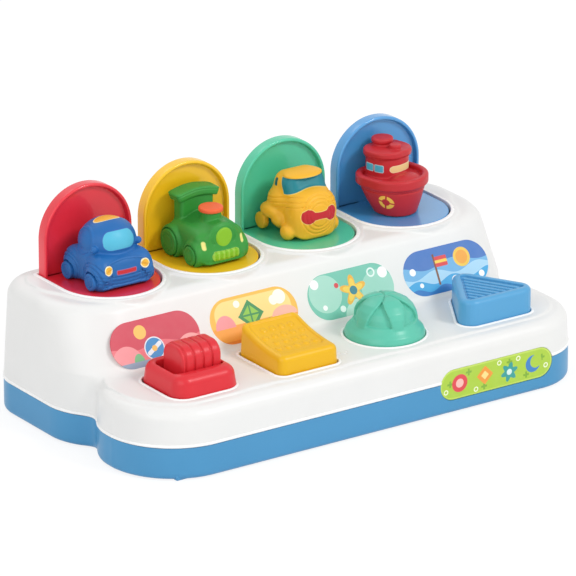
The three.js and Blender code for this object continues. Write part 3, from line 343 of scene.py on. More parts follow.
def skin(name, form, low, high, cells):
    """The surface of a form inside a box, as an even net of four-sided faces.

    Only the first cell size, for the full mesh, is used; the second, for a quick one, is not used.
    """
    cell = cells[0]
    axes = [np.arange(a - 1.5 * cell, b + 2.5 * cell, cell) for a, b in zip(low, high)]
    grid = np.meshgrid(*axes, indexing="ij")
    value = form(*grid)
    inside = value < 0
    shape = np.array(value.shape) - 1
    corners = [inside[i:i + shape[0], j:j + shape[1], k:k + shape[2]]
               for i in (0, 1) for j in (0, 1) for k in (0, 1)]
    count = sum(c.astype(np.int8) for c in corners)
    active = (count > 0) & (count < 8)
    index = np.full(active.shape, -1, np.int64)
    index[active] = np.arange(active.sum())
    at = np.argwhere(active)
    total, hits = np.zeros((len(at), 3)), np.zeros(len(at))
    for axis in range(3):
        step = np.eye(3, dtype=int)[axis]
        for i in (0, 1):
            for j in (0, 1):
                offset = np.insert(np.array([i, j]), axis, 0)
                a = at + offset
                b = a + step
                va, vb = value[tuple(a.T)], value[tuple(b.T)]
                crossing = (va < 0) != (vb < 0)
                share = np.where(crossing, va / np.where(crossing, va - vb, 1), 0)
                total[crossing] += (a + step * share[:, None])[crossing]
                hits += crossing
    points = total / hits[:, None] * cell + [a[0] for a in axes]
    for _ in range(3):
        points = to_surface(form, points, cell)
    faces = []
    for axis in range(3):
        first, second = [k for k in range(3) if k != axis]
        step = np.eye(3, dtype=int)[axis]
        a = inside[tuple(slice(1, -1) if k != axis else slice(0, -1) for k in range(3))]
        b = inside[tuple(slice(1, -1) if k != axis else slice(1, None) for k in range(3))]
        edges = np.argwhere(a != b)
        flips = a[tuple(edges.T)]
        edges[:, first] += 1
        edges[:, second] += 1
        e1, e2 = np.eye(3, dtype=int)[first], np.eye(3, dtype=int)[second]
        quad = np.stack([index[tuple((edges - d).T)] for d in (0 * e1, e1, e1 + e2, e2)], axis=1)
        turn = flips if axis != 1 else ~flips
        faces.append(np.where(turn[:, None], quad, quad[:, ::-1]))
    faces = np.concatenate(faces)
    return mesh_piece(name, points, faces.tolist())


def skin_about(name, form, centre, half, cells):
    """The surface of a form inside a box about a centre."""
    return skin(name, form, np.subtract(centre, half), np.add(centre, half), cells)


def to_surface(form, points, cell):
    """Moves points along the steepest slope of the distance, on to the surface."""
    tiny = cell * 0.1
    value = form(*points.T)
    slope = np.stack([(form(*(points + tiny * e).T) - form(*(points - tiny * e).T)) / (2 * tiny)
                      for e in np.eye(3)], axis=1)
    size = np.maximum((slope ** 2).sum(axis=1), 0.05)
    step = slope * (value / size)[:, None]
    length = np.linalg.norm(step, axis=1)
    step *= np.minimum(1, cell * 0.6 / np.maximum(length, 1e-9))[:, None]
    return points - step


def outward(piece):
    """Turns every face of a closed piece to the outside."""
    body = bmesh.new()
    body.from_mesh(piece.data)
    bmesh.ops.recalc_face_normals(body, faces=body.faces)
    body.to_mesh(piece.data)
    body.free()
    return piece


def loft(name, levels, band=False):
    """A body through rings of as many points each, with two ends or closed to a band."""
    levels = [np.asarray(ring, float) for ring in levels]
    count, many = len(levels[0]), len(levels)
    faces = []
    for at in range(many if band else many - 1):
        after = (at + 1) % many
        for k in range(count):
            n = (k + 1) % count
            faces.append((at * count + k, at * count + n, after * count + n, after * count + k))
    if not band:
        faces.append(tuple(reversed(range(count))))
        faces.append(tuple(range((many - 1) * count, many * count)))
    return outward(mesh_piece(name, np.concatenate(levels), faces))


def level(outline, z):
    return np.column_stack([outline, np.full(len(outline), float(z))])


def arc(centre, radius, start, end, steps):
    angles = np.radians(np.linspace(start, end, steps + 1))
    return centre + radius * np.column_stack([np.cos(angles), np.sin(angles)])


def rect_outline(u_half, v_low, v_high, low_radius, high_radius=None, steps=12):
    high_radius = low_radius if high_radius is None else high_radius
    return np.concatenate([
        arc((u_half - low_radius, v_low + low_radius), low_radius, -90, 0, steps),
        arc((u_half - high_radius, v_high - high_radius), high_radius, 0, 90, steps),
        arc((-u_half + high_radius, v_high - high_radius), high_radius, 90, 180, steps),
        arc((-u_half + low_radius, v_low + low_radius), low_radius, 180, 270, steps),
    ])


def arch_outline(radius, centre, back, corner=0.8, steps=48):
    """Half a disc that runs on straight to a back edge with small round corners."""
    return np.concatenate([
        arc((0, centre), radius, 180, 360, steps),
        arc((radius - corner, back - corner), corner, 0, 90, 3),
        arc((-radius + corner, back - corner), corner, 90, 180, 3),
    ])


def triangle_outline(grow=0.0, side=TRIANGLE_SIDE, corner=TRIANGLE_CORNER, steps=12):
    reach = side / math.sqrt(3) - 2 * corner
    radius = corner + grow
    parts = []
    for turn in (-30, 90, 210):
        centre = (reach * math.cos(math.radians(turn)), reach * math.sin(math.radians(turn)))
        parts.append(arc(centre, radius, turn - 60, turn + 60, steps))
    return np.concatenate(parts) + (0, triangle_y)


def combine(piece, other, operation):
    """Joins or cuts a piece with another, which goes."""
    modifier = piece.modifiers.new(operation, "BOOLEAN")
    modifier.operation, modifier.solver, modifier.object = operation, "EXACT", other
    graph = bpy.context.evaluated_depsgraph_get()
    mesh = bpy.data.meshes.new_from_object(piece.evaluated_get(graph))
    piece.modifiers.clear()
    spent = (piece.data, other.data)
    piece.data = mesh
    bpy.data.objects.remove(other)
    for old in spent:
        bpy.data.meshes.remove(old)


def even_normals(piece, angle):
    """Smooth faces with sharp edges above an angle, and flat faces left flat."""
    mesh = piece.data
    mesh.polygons.foreach_set("use_smooth", [True] * len(mesh.polygons))
    mesh.set_sharp_from_angle(angle=math.radians(angle))
    piece.modifiers.new("even", "WEIGHTED_NORMAL").keep_sharp = True


# Shader maths

class Value:
    """A number that varies over a surface or a ray. Python's operators add the nodes."""

    def __init__(self, nodes, socket):
        self.nodes, self.socket = nodes, socket

    def _math(self, operation, *others):
        return self.nodes.math(operation, self, *others)

    def __add__(self, other):
        return self._math("ADD", other)

    __radd__ = __add__

    def __sub__(self, other):
        return self._math("SUBTRACT", other)

    def __rsub__(self, other):
        return self.nodes.math("SUBTRACT", other, self)

    def __mul__(self, other):
        return self._math("MULTIPLY", other)

    __rmul__ = __mul__

    def __truediv__(self, other):
        return self._math("DIVIDE", other)

    def __abs__(self):
        return self._math("ABSOLUTE")

    def least(self, other):
        return self._math("MINIMUM", other)

    def most(self, other):
        return self._math("MAXIMUM", other)


class Nodes:
    """A node tree being filled. One method adds every node."""

    def __init__(self, tree):
        self.tree = tree
        tree.nodes.clear()

    def node(self, kind, settings=None, **inputs):
        made = self.tree.nodes.new(kind)
        for key, value in (settings or {}).items():
            setattr(made, key, value)
        for key, value in inputs.items():
            self.feed(made, key.replace("_", " "), value)
        return made

    def feed(self, node, key, value):
        """Sets or links the first socket with a name or an identifier."""
        socket = next(s for s in node.inputs if s.enabled and key in (s.name, s.identifier))
        value = value.socket if isinstance(value, Value) else value
        if isinstance(value, bpy.types.NodeSocket):
            self.tree.links.new(value, socket)
        else:
            socket.default_value = value

    def math(self, operation, *values):
        made = self.node("ShaderNodeMath", {"operation": operation})
        for key, value in zip(("Value", "Value_001", "Value_002"), values):
            self.feed(made, key, value)
        return Value(self, made.outputs[0])

    def mix(self, factor, a, b):
        made = self.node("ShaderNodeMix", {"data_type": "RGBA"})
        for key, value in (("Factor_Float", factor), ("A_Color", a), ("B_Color", b)):
            self.feed(made, key, value)
        return made.outputs[2]

    def blend(self, factor, first, second):
        """Two shaders by a factor."""
        made = self.node("ShaderNodeMixShader", None, Fac=factor)
        self.feed(made, "Shader", first.outputs[0])
        self.feed(made, "Shader_001", second.outputs[0])
        return made

    def seen(self):
        """1 for rays from the camera or off a shiny surface, and 0 for the rest."""
        ray = self.node("ShaderNodeLightPath")
        straight, glossy = (Value(self, ray.outputs[f"Is {kind} Ray"]) for kind in ("Camera", "Glossy"))
        return straight.most(glossy)


class Finish(Nodes):
    """A material being made: its nodes, and the place on the piece in millimetres."""

    def __init__(self, name, origin=(0, 0, 0)):
        self.material = bpy.data.materials.new(name)
        self.material.use_nodes = True
        super().__init__(self.material.node_tree)
        self.place = self.node("ShaderNodeTexCoord").outputs["Object"]
        parts = self.node("ShaderNodeSeparateXYZ", Vector=self.place)
        self.x, self.y, self.z = (
            Value(self, parts.outputs[k]) * (1 / MM) - origin[k] for k in range(3)
        )

    def ended(self, shader):
        self.node("ShaderNodeOutputMaterial", None, Surface=shader.outputs[0])
        return self.material

    def length(self, a, b):
        return self.math("SQRT", a * a + b * b)

    def cover(self, distance, soft=0.12):
        """1 inside a distance of 0 and 0 outside, with a soft edge."""
        made = self.node("ShaderNodeMapRange", {"interpolation_type": "SMOOTHSTEP"}, Value=distance,
                         From_Min=-soft, From_Max=soft, To_Min=1.0, To_Max=0.0)
        return Value(self, made.outputs[0])

    def rect(self, u, v, half_u, half_v, radius):
        a, b = abs(u) - (half_u - radius), abs(v) - (half_v - radius)
        return self.length(a.most(0), b.most(0)) + a.most(b).least(0) - radius

    def noise(self, scale, detail=2.0, roughness=0.5):
        made = self.node("ShaderNodeTexNoise", None, Vector=self.place, Scale=scale, Detail=detail,
                         Roughness=roughness)
        return Value(self, made.outputs[0])


def colour(text):
    """A colour written as its six sRGB digits."""
    parts = [int(text[k:k + 2], 16) / 255 for k in (0, 2, 4)]
    linear = [p / 12.92 if p <= 0.04045 else ((p + 0.055) / 1.055) ** 2.4 for p in parts]
    return (*linear, 1.0)


def tinted(base, factor, lift=0.0):
    """A colour made lighter or darker by a factor and a lift."""
    return (*(min(1.0, part * factor + lift) for part in colour(base)[:3]), 1.0)


def plastic(name, base, gloss=0.38, grain=0.5, paint=None, origin=(0, 0, 0), coat=0.0, wear=1.0):
    """Moulded plastic: faint uneven colour, fine bump, rubbed edges, and any painted places."""
    finish = Finish(name, origin)
    shade = finish.mix(finish.noise(35.0, 3.0), tinted(base, 0.975), tinted(base, 1.025, 0.002))
    if paint:
        shade = paint(finish, shade)
    curve = Value(finish, finish.node("ShaderNodeNewGeometry").outputs["Pointiness"])
    worn = ((curve - 0.53) * 6).most(0).least(0.35) * wear
    scuff, fine = finish.noise(260.0, 4.0, 0.65), finish.noise(2600.0, 2.0)
    bump = finish.node("ShaderNodeBump", None, Height=fine * 0.6 + scuff * 0.4,
                       Strength=0.18 * grain, Distance=0.00025)
    return finish.ended(finish.node(
        "ShaderNodeBsdfPrincipled", None, Normal=bump.outputs[0],
        Base_Color=finish.mix(worn, shade, tinted(base, 1.25, 0.05)),
        Roughness=gloss + (scuff - 0.5) * 0.16 + worn * 0.2,
        Specular_IOR_Level=0.36, Coat_Weight=coat, Coat_Roughness=0.07))


def steel():
    finish = Finish("spring_steel")
    streak = finish.noise(900.0, 3.0)
    return finish.ended(finish.node(
        "ShaderNodeBsdfPrincipled", None, Roughness=0.25 + streak * 0.2, Metallic=1.0,
        Base_Color=finish.mix(streak, colour("A9ADB1"), colour("CDD0D3"))))


def dress(piece, material):
    piece.data.materials.clear()
    piece.data.materials.append(material)
    return piece


def settle(piece, body, material, node=None):
    """Gives a piece its look and the body it rides, and hides the model's part for the node it stands for.
    """
    dress(piece, material)
    if node:
        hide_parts(node)
    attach(piece, body)


# Housing

def draft(z):
    """How far the walls lean in at a height."""
    return (z - TRAY_TOP) * DRAFT


def rear_front(z):
    """The rear lobe's front, which leans back from the deck up."""
    rise = np.clip((z - TRAY_TOP) / (DECK - TRAY_TOP), 0, 1)
    climb = np.maximum((z - DECK) / (TOP - DECK), 0)
    return REAR_FOOT_Y + (SLOPE_FOOT_Y - REAR_FOOT_Y) * rise + (SLOPE_TOP_Y - SLOPE_FOOT_Y) * climb


def rear_plan(x, y, z):
    return round_rect(x, y, SIDE - draft(z), rear_front(z), BACK - draft(z), REAR_CORNER, BACK_CORNER)


def front_plan(x, y, z):
    side = SIDE - np.where(x < 0, LEFT_INSET, 0) - draft(z)
    corner = np.where(x < 0, LEFT_CORNER, FRONT_CORNER)
    return round_rect(x, y, side, FRONT + draft(z), FRONT_LOBE_BACK, corner, FRONT_CORNER)


def waist_blend(x):
    """How softly the lobes meet: more so at the notch on each side."""
    return WAIST_BLEND + WAIST_SPREAD * np.clip((np.abs(x) - WAIST_START) / WAIST_LENGTH, 0, 1)


def foot_plan(x, y, z):
    """Both lobes' plan as it is at the tray's top."""
    still = np.full_like(z, TRAY_TOP)
    return soft_min(rear_plan(x, y, still), front_plan(x, y, still), waist_blend(x))


def rear_lobe(x, y, z):
    edge = np.clip((y - SLOPE_TOP_Y) / EDGE_SPREAD, 0, 1)
    radius = SLOPE_ROUND + (TOP_ROUND - SLOPE_ROUND) * edge * edge * (3 - 2 * edge)
    return rounded(rear_plan(x, y, z), z - (TOP - PLATEAU_STEP), radius)


def front_lobe(x, y, z):
    return rounded(front_plan(x, y, z), z - (DECK - PLATEAU_STEP), DECK_ROUND)


def rear_plateau(x, y, z):
    """The flat top inside the rounded edge, and pads round the bays."""
    plan = round_rect(x, y, SIDE - 2.6 - PLATEAU_INSET, bay_centre_y - 10, BACK - 2.6 - PLATEAU_INSET,
                      24.0, 20.0)
    bays = np.minimum.reduce([lengths(x - bay_x[bay], y - bay_centre_y) for bay in BAYS])
    pads = bays - (LID_RADIUS + BAY_GAP + PAD_WIDTH)
    return rounded(soft_min(plan, pads, 6.0), z - TOP, PLATEAU_EDGE)


def button_pads(x, y):
    frame_half = FRAME_SIDE / 2
    frame_pad = round_rect(x - bay_x["car"], y - BUTTON_Y, frame_half, -frame_half, frame_half,
                           FRAME_CORNER, FRAME_CORNER)
    key_pad = round_rect(x - bay_x["train"], y, KEY_WIDTH / 2, key_front_y, key_front_y + KEY_DEPTH,
                         KEY_CORNER, KEY_CORNER)
    dial_pad = lengths(x - bay_x["plane"], y - BUTTON_Y) - DIAL_RADIUS
    triangle_pad = loop_distance(triangle_outline(steps=6), x - bay_x["boat"], y)
    return np.minimum.reduce([frame_pad, key_pad, dial_pad, triangle_pad]) - PAD_WIDTH


def front_plateau(x, y, z):
    """The flat deck inside the rounded edge, and pads round the buttons."""
    plan = round_rect(x, y, SIDE - np.where(x < 0, LEFT_INSET, 1) - PLATEAU_INSET,
                      FRONT + 1 + PLATEAU_INSET, FRONT_LOBE_BACK,
                      np.where(x < 0, LEFT_CORNER, FRONT_CORNER) - PLATEAU_INSET, 25.0)
    return rounded(soft_min(plan, button_pads(x, y), 5.0), z - DECK, PLATEAU_EDGE)


def housing_form():
    """The outer housing down to just below the seam."""
    body = Form(lambda x, y, z: soft_min(rear_lobe(x, y, z), front_lobe(x, y, z), waist_blend(x)))
    body = body.join(Form(front_plateau), 1.0).join(Form(rear_plateau), 1.0)
    return body.common(Form(lambda x, y, z: SEAM - 3 - z))


def lip_form():
    """The thin edge of the shell just above the tray, which housing() gives a lighter white as a painted
    highlight.
    """
    half = LIP_HEIGHT / 2
    return Form(lambda x, y, z: rounded(np.abs(foot_plan(x, y, z) + 0.6) - 1.1,
                                        np.abs(z - SEAM - half) - half, 0.6))


def tray_form():
    """The tray up to just above its top."""
    body = Form(lambda x, y, z: rounded(foot_plan(x, y, z), FOOT_RISE - z, TRAY_ROUND))
    return body.common(Form(lambda x, y, z: z - TRAY_TOP - 3))


def button_outline(bay, grow):
    """The outline of the button in a bay, grown by a gap."""
    if bay == "car":
        half = FRAME_SIDE / 2 + grow
        return rect_outline(half, BUTTON_Y - half, BUTTON_Y + half, FRAME_CORNER + grow)
    if bay == "train":
        return rect_outline(KEY_WIDTH / 2 + grow, key_front_y - grow, key_front_y + KEY_DEPTH + grow,
                            KEY_CORNER + grow)
    if bay == "plane":
        return arc((0, BUTTON_Y), DIAL_RADIUS + grow, 0, 360, 72)[:-1]
    return triangle_outline(grow)


def hole_outline(bay, grow):
    """The outline of a button's hole."""
    return button_outline(bay, (KEY_GAP if bay == "train" else BUTTON_GAP) + grow)


def bay_outline(grow):
    return arch_outline(LID_RADIUS + BAY_GAP + grow, bay_centre_y, hinge[1] + BAY_BACK + grow,
                        0.8 + grow * 0.5)


def placed(piece, x):
    for vertex in piece.data.vertices:
        vertex.co.x += x * MM
    return piece


def rim(name, outline, top, x, width=1.7):
    """The soft raised edge round an opening. The outline function takes how far to grow."""
    profile = [(0.0, -RIM_DEPTH), (0.0, RIM_RISE * 0.35), (0.3, RIM_RISE * 0.85), (0.75, RIM_RISE),
               (width - 0.6, RIM_RISE * 0.9), (width - 0.1, RIM_RISE * 0.35), (width + 0.2, -0.3),
               (width, -RIM_DEPTH)]
    piece = placed(loft(name, [level(outline(grow), top + height) for grow, height in profile], True), x)
    even_normals(piece, 60)
    # Rims get the lighter white: a painted highlight for the light their raised edge catches.
    settle(piece, "housing", painted_highlight_white)


def opening(body, outline, top, x):
    """Cuts an upright opening through a level wall."""
    cutter = placed(loft("cutter", [level(outline, top - 8), level(outline, top + 4)]), x)
    combine(body, cutter, "DIFFERENCE")


def trim(body, low, high):
    """Cuts off all of a piece between two heights."""
    x, front, back = SIDE + CUT_PAST, FRONT - CUT_PAST, BACK + CUT_PAST
    outline = np.array([(-x, front), (x, front), (x, back), (-x, back)])
    combine(body, loft("trim", [level(outline, low), level(outline, high)]), "DIFFERENCE")


def rear_cavity():
    rings = [level(rect_outline(SIDE - draft(z) - WALL, rear_front(z) + WALL * 1.15,
                                BACK - draft(z) - WALL, REAR_CORNER - WALL, BACK_CORNER - WALL, 8), z)
             for z in (SEAM - 5, DECK, TOP - TOP_ROUND)]
    top = rect_outline(SIDE - 3 - TOP_ROUND, rear_front(TOP) + 4, BACK - 3 - TOP_ROUND,
                       REAR_CORNER - TOP_ROUND, BACK_CORNER - TOP_ROUND, 8)
    return loft("rear_cavity", [*rings, level(top, TOP - WALL - 0.8)])


def front_cavity():
    rings = []
    for z, inset in ((SEAM - 5, 0), (DECK - DECK_ROUND, 0), (DECK - WALL - 0.8, DECK_ROUND - 2)):
        outline = rect_outline(SIDE - LEFT_INSET - draft(z) - WALL - inset, FRONT + WALL + 0.6 + inset,
                               FRONT_LOBE_BACK - WALL, LEFT_CORNER - WALL - inset,
                               FRONT_CORNER - WALL - inset, 8)
        rings.append(level(outline, z))
    return loft("front_cavity", rings)


def label_pocket():
    """What is cut from shell and tray behind the front label."""
    half, reach = FRONT_LABEL_HEIGHT / 2 + LABEL_GAP, FRONT_LABEL_LENGTH / 2 + LABEL_GAP
    outline = rect_outline(reach, -half, half, half - PILL_END, steps=24)
    rings = [np.column_stack([outline[:, 0] + front_label_x, np.full(len(outline), y),
                              outline[:, 1] + FRONT_LABEL_Z])
             for y in (front_label_y + LABEL_SINK, FRONT - 3.0)]
    return loft("label_pocket", rings)


def housing():
    body = skin("housing_shell", housing_form(), (-SIDE, FRONT, SEAM - 4), (SIDE, BACK, TOP), HOUSING_CELL)
    trim(body, SEAM - 20, SEAM)
    combine(body, rear_cavity(), "DIFFERENCE")
    combine(body, front_cavity(), "DIFFERENCE")
    for bay in BAYS:
        opening(body, bay_outline(0.4), TOP, bay_x[bay])
        opening(body, hole_outline(bay, 0.4), DECK, bay_x[bay])
    combine(body, label_pocket(), "DIFFERENCE")
    for x, y in DIMPLES:
        centre, size = (x, y, DECK + 0.5), (DIMPLE_RADIUS,) * 3
        combine(body, skin_about("dimple", ball(centre, size), centre, size, DIMPLE_CELL), "DIFFERENCE")
    even_normals(body, 40)
    settle(body, "housing", white, "top_shell")
    for bay in BAYS:
        rim(f"{bay}_bay_rim", bay_outline, TOP, bay_x[bay], 2.2)
        rim(f"{bay}_button_rim", lambda grow: hole_outline(bay, grow), DECK, bay_x[bay])
    lip = skin("housing_lip", lip_form(), (-SIDE - 0.6, FRONT - 0.6, SEAM),
               (SIDE + 0.6, BACK + 0.6, SEAM + LIP_HEIGHT), LIP_CELL)
    combine(lip, label_pocket(), "DIFFERENCE")
    # The lip gets the lighter white too: a painted highlight along the seam.
    settle(lip, "housing", painted_highlight_white)


def tray():
    body = skin("base", tray_form(), (-SIDE, FRONT, FOOT_RISE), (SIDE, BACK, TRAY_TOP + 4), TRAY_CELL)
    trim(body, TRAY_TOP, TRAY_TOP + 20)
    combine(body, label_pocket(), "DIFFERENCE")
    even_normals(body, 40)
    settle(body, "housing", tray_blue, "base_tray")
    for step in (-2, -1, 0, 1, 2):
        for row, y in (("front", FRONT + 9), ("back", BACK - 9)):
            centre = (step * FOOT_STEP, y, FOOT_HALF[2])
            foot = block(centre, FOOT_HALF, 1.1)
            piece = skin_about(f"foot_{step + 3}_{row}", foot, centre, FOOT_HALF, FOOT_CELL)
            settle(piece, "housing", tray_blue)


# Lids

def lid(bay, material, slot):
    """A lid with a recessed front face on a round platform, and its hinge knuckles."""
    x, back, front = bay_x[bay], hinge[1] + LID_BACK, hinge[1] - LID_FRONT
    profile = [(1.0, back), (0.3, back - 0.3), (0.0, back - 1.0), (0.0, front + 0.9), (0.3, front + 0.25),
               (0.9, front), (1.6, front), (2.0, front + 0.2), (2.2, front + 0.7), (2.3, front + 2.4),
               (2.7, front + 2.85), (3.4, front + 3.0)]
    rings = []
    for inset, y in profile:
        flat = arch_outline(LID_RADIUS - inset, -(LID_REACH - LID_RADIUS), -0.8, 0.6)
        rings.append(np.column_stack([flat[:, 0] + x, np.full(len(flat), y), hinge[2] - flat[:, 1]]))
    body = loft(f"{bay}_lid_body", rings)
    rings = []
    for inset, height in ((1.0, 0.8), (0.3, 1.0), (0.0, 1.6), (0.0, 2.5), (0.25, 3.0), (0.8, 3.2)):
        flat = arch_outline(LID_RADIUS - 0.5 - inset, bay_centre_y, hinge[1] + 1.0, 0.6)
        rings.append(level(flat + (x, 0), hinge[2] + height))
    combine(body, loft("platform", rings), "UNION")
    for side in (-1, 1):
        centre = (x + side * KNUCKLE_X, hinge[1], hinge[2])
        knuckle = skin_about("knuckle", drum(centre, KNUCKLE_RADIUS, KNUCKLE_HALF, 0.5), centre,
                             (KNUCKLE_HALF, KNUCKLE_RADIUS, KNUCKLE_RADIUS), KNUCKLE_CELL)
        combine(body, knuckle, "UNION")
    even_normals(body, 50)
    settle(body, f"{bay}_popup", material, f"{bay}_lid")


# Vehicles, each drawn about the middle of its foot with its nose towards -Y

def wheel(x, y, radius, half):
    tyre = drum((x, y, radius), radius, half, 1.0)
    return tyre.groove(hoop((x + half, y, radius), radius * 0.6, 0.35), 0.5, 0.2)


def hoop_slab(y_centre, z_centre, radius):
    """A thin arch line over a wheel, on both flanks."""
    return Form(lambda x, y, z: np.maximum(np.abs(lengths(y - y_centre, z - z_centre) - radius) - 0.35,
                                           np.maximum(10.0 - np.abs(x), 2.5 - z)))


def car():
    lower = side_slab([(-17.5, 1.0), (-19.2, 5.0), (-19.0, 12.0), (-16.8, 18.2), (-9.0, 20.8), (6.0, 21.6),
                       (15.0, 19.8), (20.0, 14.0), (20.4, 7.0), (18.5, 1.0), (0.0, 0.4)], 18.6, 6.0)
    cabin = ball((0, 2.0, 24.6), (17.2, 16.0, 13.6))
    body = lower.join(cabin, 1.6)
    fenders = ball((15.0, -11.0, 9.0), (6.2, 9.6, 10.4)).join(ball((14.6, 14.0, 9.5), (6.4, 8.6, 10.2)))
    body = body.join(fenders.mirrored(), 2.5)
    body = body.join(ball((15.4, -7.8, 23.6), (2.2, 1.8, 2.2)).mirrored(), 1.4)
    for height in (3.4, 5.6, 7.8):
        line = Form(lambda x, y, z, h=height: np.maximum(np.abs(z - h - 0.006 * x * x) - 0.3, y + 8.0))
        body = body.groove(line, 0.3)
    brow = Form(lambda x, y, z: np.maximum(np.abs(z - 18.4 + 0.012 * x * x) - 0.45,
                                           np.maximum(y + 9.0, np.abs(x) - 13)))
    body = body.ridge(brow, 0.45)
    lamps = drum((12.7, -17.4, 13.2), 2.9, 1.9, 0.7, "y").mirrored()
    body = body.join(lamps, 0.5)
    wells = drum((22.6, -11.0, 5.5), 6.3, 4.0, 0.6).join(drum((22.6, 14.3, 5.5), 6.3, 4.0, 0.6))
    body = body.cut(wells.mirrored(), 0.6)
    for y, radius in ((-11.0, 8.6), (-11.0, 10.4), (14.3, 8.6), (14.3, 10.4)):
        body = body.groove(hoop_slab(y, 6.4, radius), 0.5)
    wheels = wheel(18.4, -11.0, 5.4, 3.1).join(wheel(18.4, 14.3, 5.4, 3.1))
    body = body.join(wheels.mirrored(), 0.0)
    window = Form(lambda x, y, z: lengths((y - 3.0) / 8.5, (z - 26.0) / 8.0) * 8.0 - 8.0)
    pane = Form(lambda x, y, z: np.maximum(np.abs(window(x, y, z)) - 0.45, 9.0 - np.abs(x)))
    return body.ridge(pane, 0.35)


def train():
    lower = side_slab([(-17.5, 1.0), (-19.4, 4.0), (-18.8, 8.5), (-16.2, 14.0), (-14.0, 19.0), (-6.0, 21.5),
                       (8.0, 22.0), (17.0, 21.0), (20.2, 15.0), (20.2, 4.0), (18.5, 1.0), (0.0, 0.4)],
                      16.6, 6.5)
    boiler = drum((0, -3.0, 14.2), 11.2, 14.2, 2.4, "y")
    body = lower.join(boiler, 3.0)
    cab = block((0, 15.0, 25.0), (11.8, 4.6, 12.5), 2.2)
    body = body.join(cab, 1.5)

    def arch(x):
        return 2.8 * np.cos(np.clip(x / 15.0, -1.2, 1.2) * 1.5)

    roof = Form(lambda x, y, z: rounded(
        round_rect(x, y - 14.4, 14.2 + 0.5 * np.clip(z - 34.0, 0, 3), -5.8, 6.4, 2.5, 2.5),
        np.abs(z - 34.6 - arch(x)) - 2.6, 1.3))
    roof = roof.groove(Form(lambda x, y, z: np.abs(z - 35.9 - arch(x)) - 0.3), 0.4)
    body = body.join(roof, 0.8)
    lamps = ball((13.3, -10.5, 12.5), (3.8, 4.4, 6.4)).mirrored()
    body = body.join(lamps, 2.0)
    chimney = cone((0, -3.5, 26.6), 6.4, 6.0, 3.4, 0.6)
    cap = drum((0, -3.5, 30.8), 7.5, 1.5, 1.1, "z")
    body = body.join(chimney, 1.2).join(cap, 0.3)
    disc = drum((0, -17.0, 17.0), 5.6, 1.2, 0.8, "y")
    body = body.join(disc, 0.4)
    body = body.groove(hoop((0, -17.0, 17.0), 8.0, 0.7, "y"), 0.4)
    grille = block((0, -18.0, 6.2), (9.6, 2.4, 2.9), 1.6)
    body = body.join(grille, 0.4)
    bars = Form(lambda x, y, z: np.maximum.reduce([
        np.abs(np.mod(x + 1.75, 3.5) - 1.75) - 0.3, np.abs(x) - 9.0, y + 17.0, np.abs(z - 6.2) - 2.8]))
    body = body.groove(bars, 0.5, 0.15)
    fenders = drum((14.5, -8.7, 6.4), 8.4, 4.4, 2.4).join(drum((14.6, 13.4, 8.4), 10.4, 4.6, 2.6))
    body = body.join(fenders.mirrored(), 1.8)
    wells = drum((21.4, -8.7, 5.9), 6.6, 4.0, 0.6).join(drum((21.6, 13.4, 8.2), 8.9, 4.0, 0.6))
    body = body.cut(wells.mirrored(), 0.4)
    wheels = wheel(17.0, -8.7, 5.9, 2.5).join(wheel(17.2, 13.4, 8.2, 2.7))
    return body.join(wheels.mirrored())


def plane():
    lower = side_slab([(-13.5, 0.6), (-15.6, 6.0), (-16.0, 16.0), (-14.0, 24.5), (-9.0, 28.2), (0.0, 29.5),
                       (10.0, 29.0), (17.0, 26.0), (20.0, 18.0), (19.0, 7.0), (15.0, 1.0), (0.0, 0.4)],
                      15.8, 9.0)
    canopy = side_slab([(-8.5, 24.0), (-6.0, 31.0), (-2.5, 36.5), (3.0, 38.6), (9.0, 38.6), (14.0, 36.4),
                        (17.0, 30.0), (18.0, 22.0), (5.0, 20.0)], 14.6, 8.0)
    visor = ball((0, 2.0, 37.2), (12.8, 8.8, 2.4))
    nose = ball((0, -8.0, 15.5), (14.8, 9.8, 14.4))
    body = lower.join(canopy, 2.0).join(visor, 1.0).join(nose, 4.0)
    body = body.join(ball((12.6, 8.0, 20.5), (6.4, 9.0, 8.0)).mirrored(), 3.0)
    for radius in (7.2, 9.6, 12.0):
        ring = Form(lambda x, y, z, r=radius: np.maximum(np.abs(lengths(x, z - 15.8) - r) - 0.35, y + 9))
        body = body.groove(ring, 0.4)
    for height in (19.0, 22.0, 25.0):
        line = Form(lambda x, y, z, h=height: np.maximum(np.abs(z - h + 0.2 * y) - 0.3, 9.0 - np.abs(x)))
        body = body.groove(line, 0.4)
    wing = ball((17.2, 11.0, 14.4), (5.0, 8.2, 4.8)).join(ball((16.2, 3.4, 10.8), (4.2, 5.4, 4.6)), 1.4)
    body = body.join(wing.mirrored(), 1.8)
    wheels = ball((15.8, -5.3, 4.8), (4.4, 5.2, 5.0)).join(drum((18.6, 18.0, 6.2), 5.2, 2.0, 1.2))
    return body.join(wheels.mirrored(), 1.8)


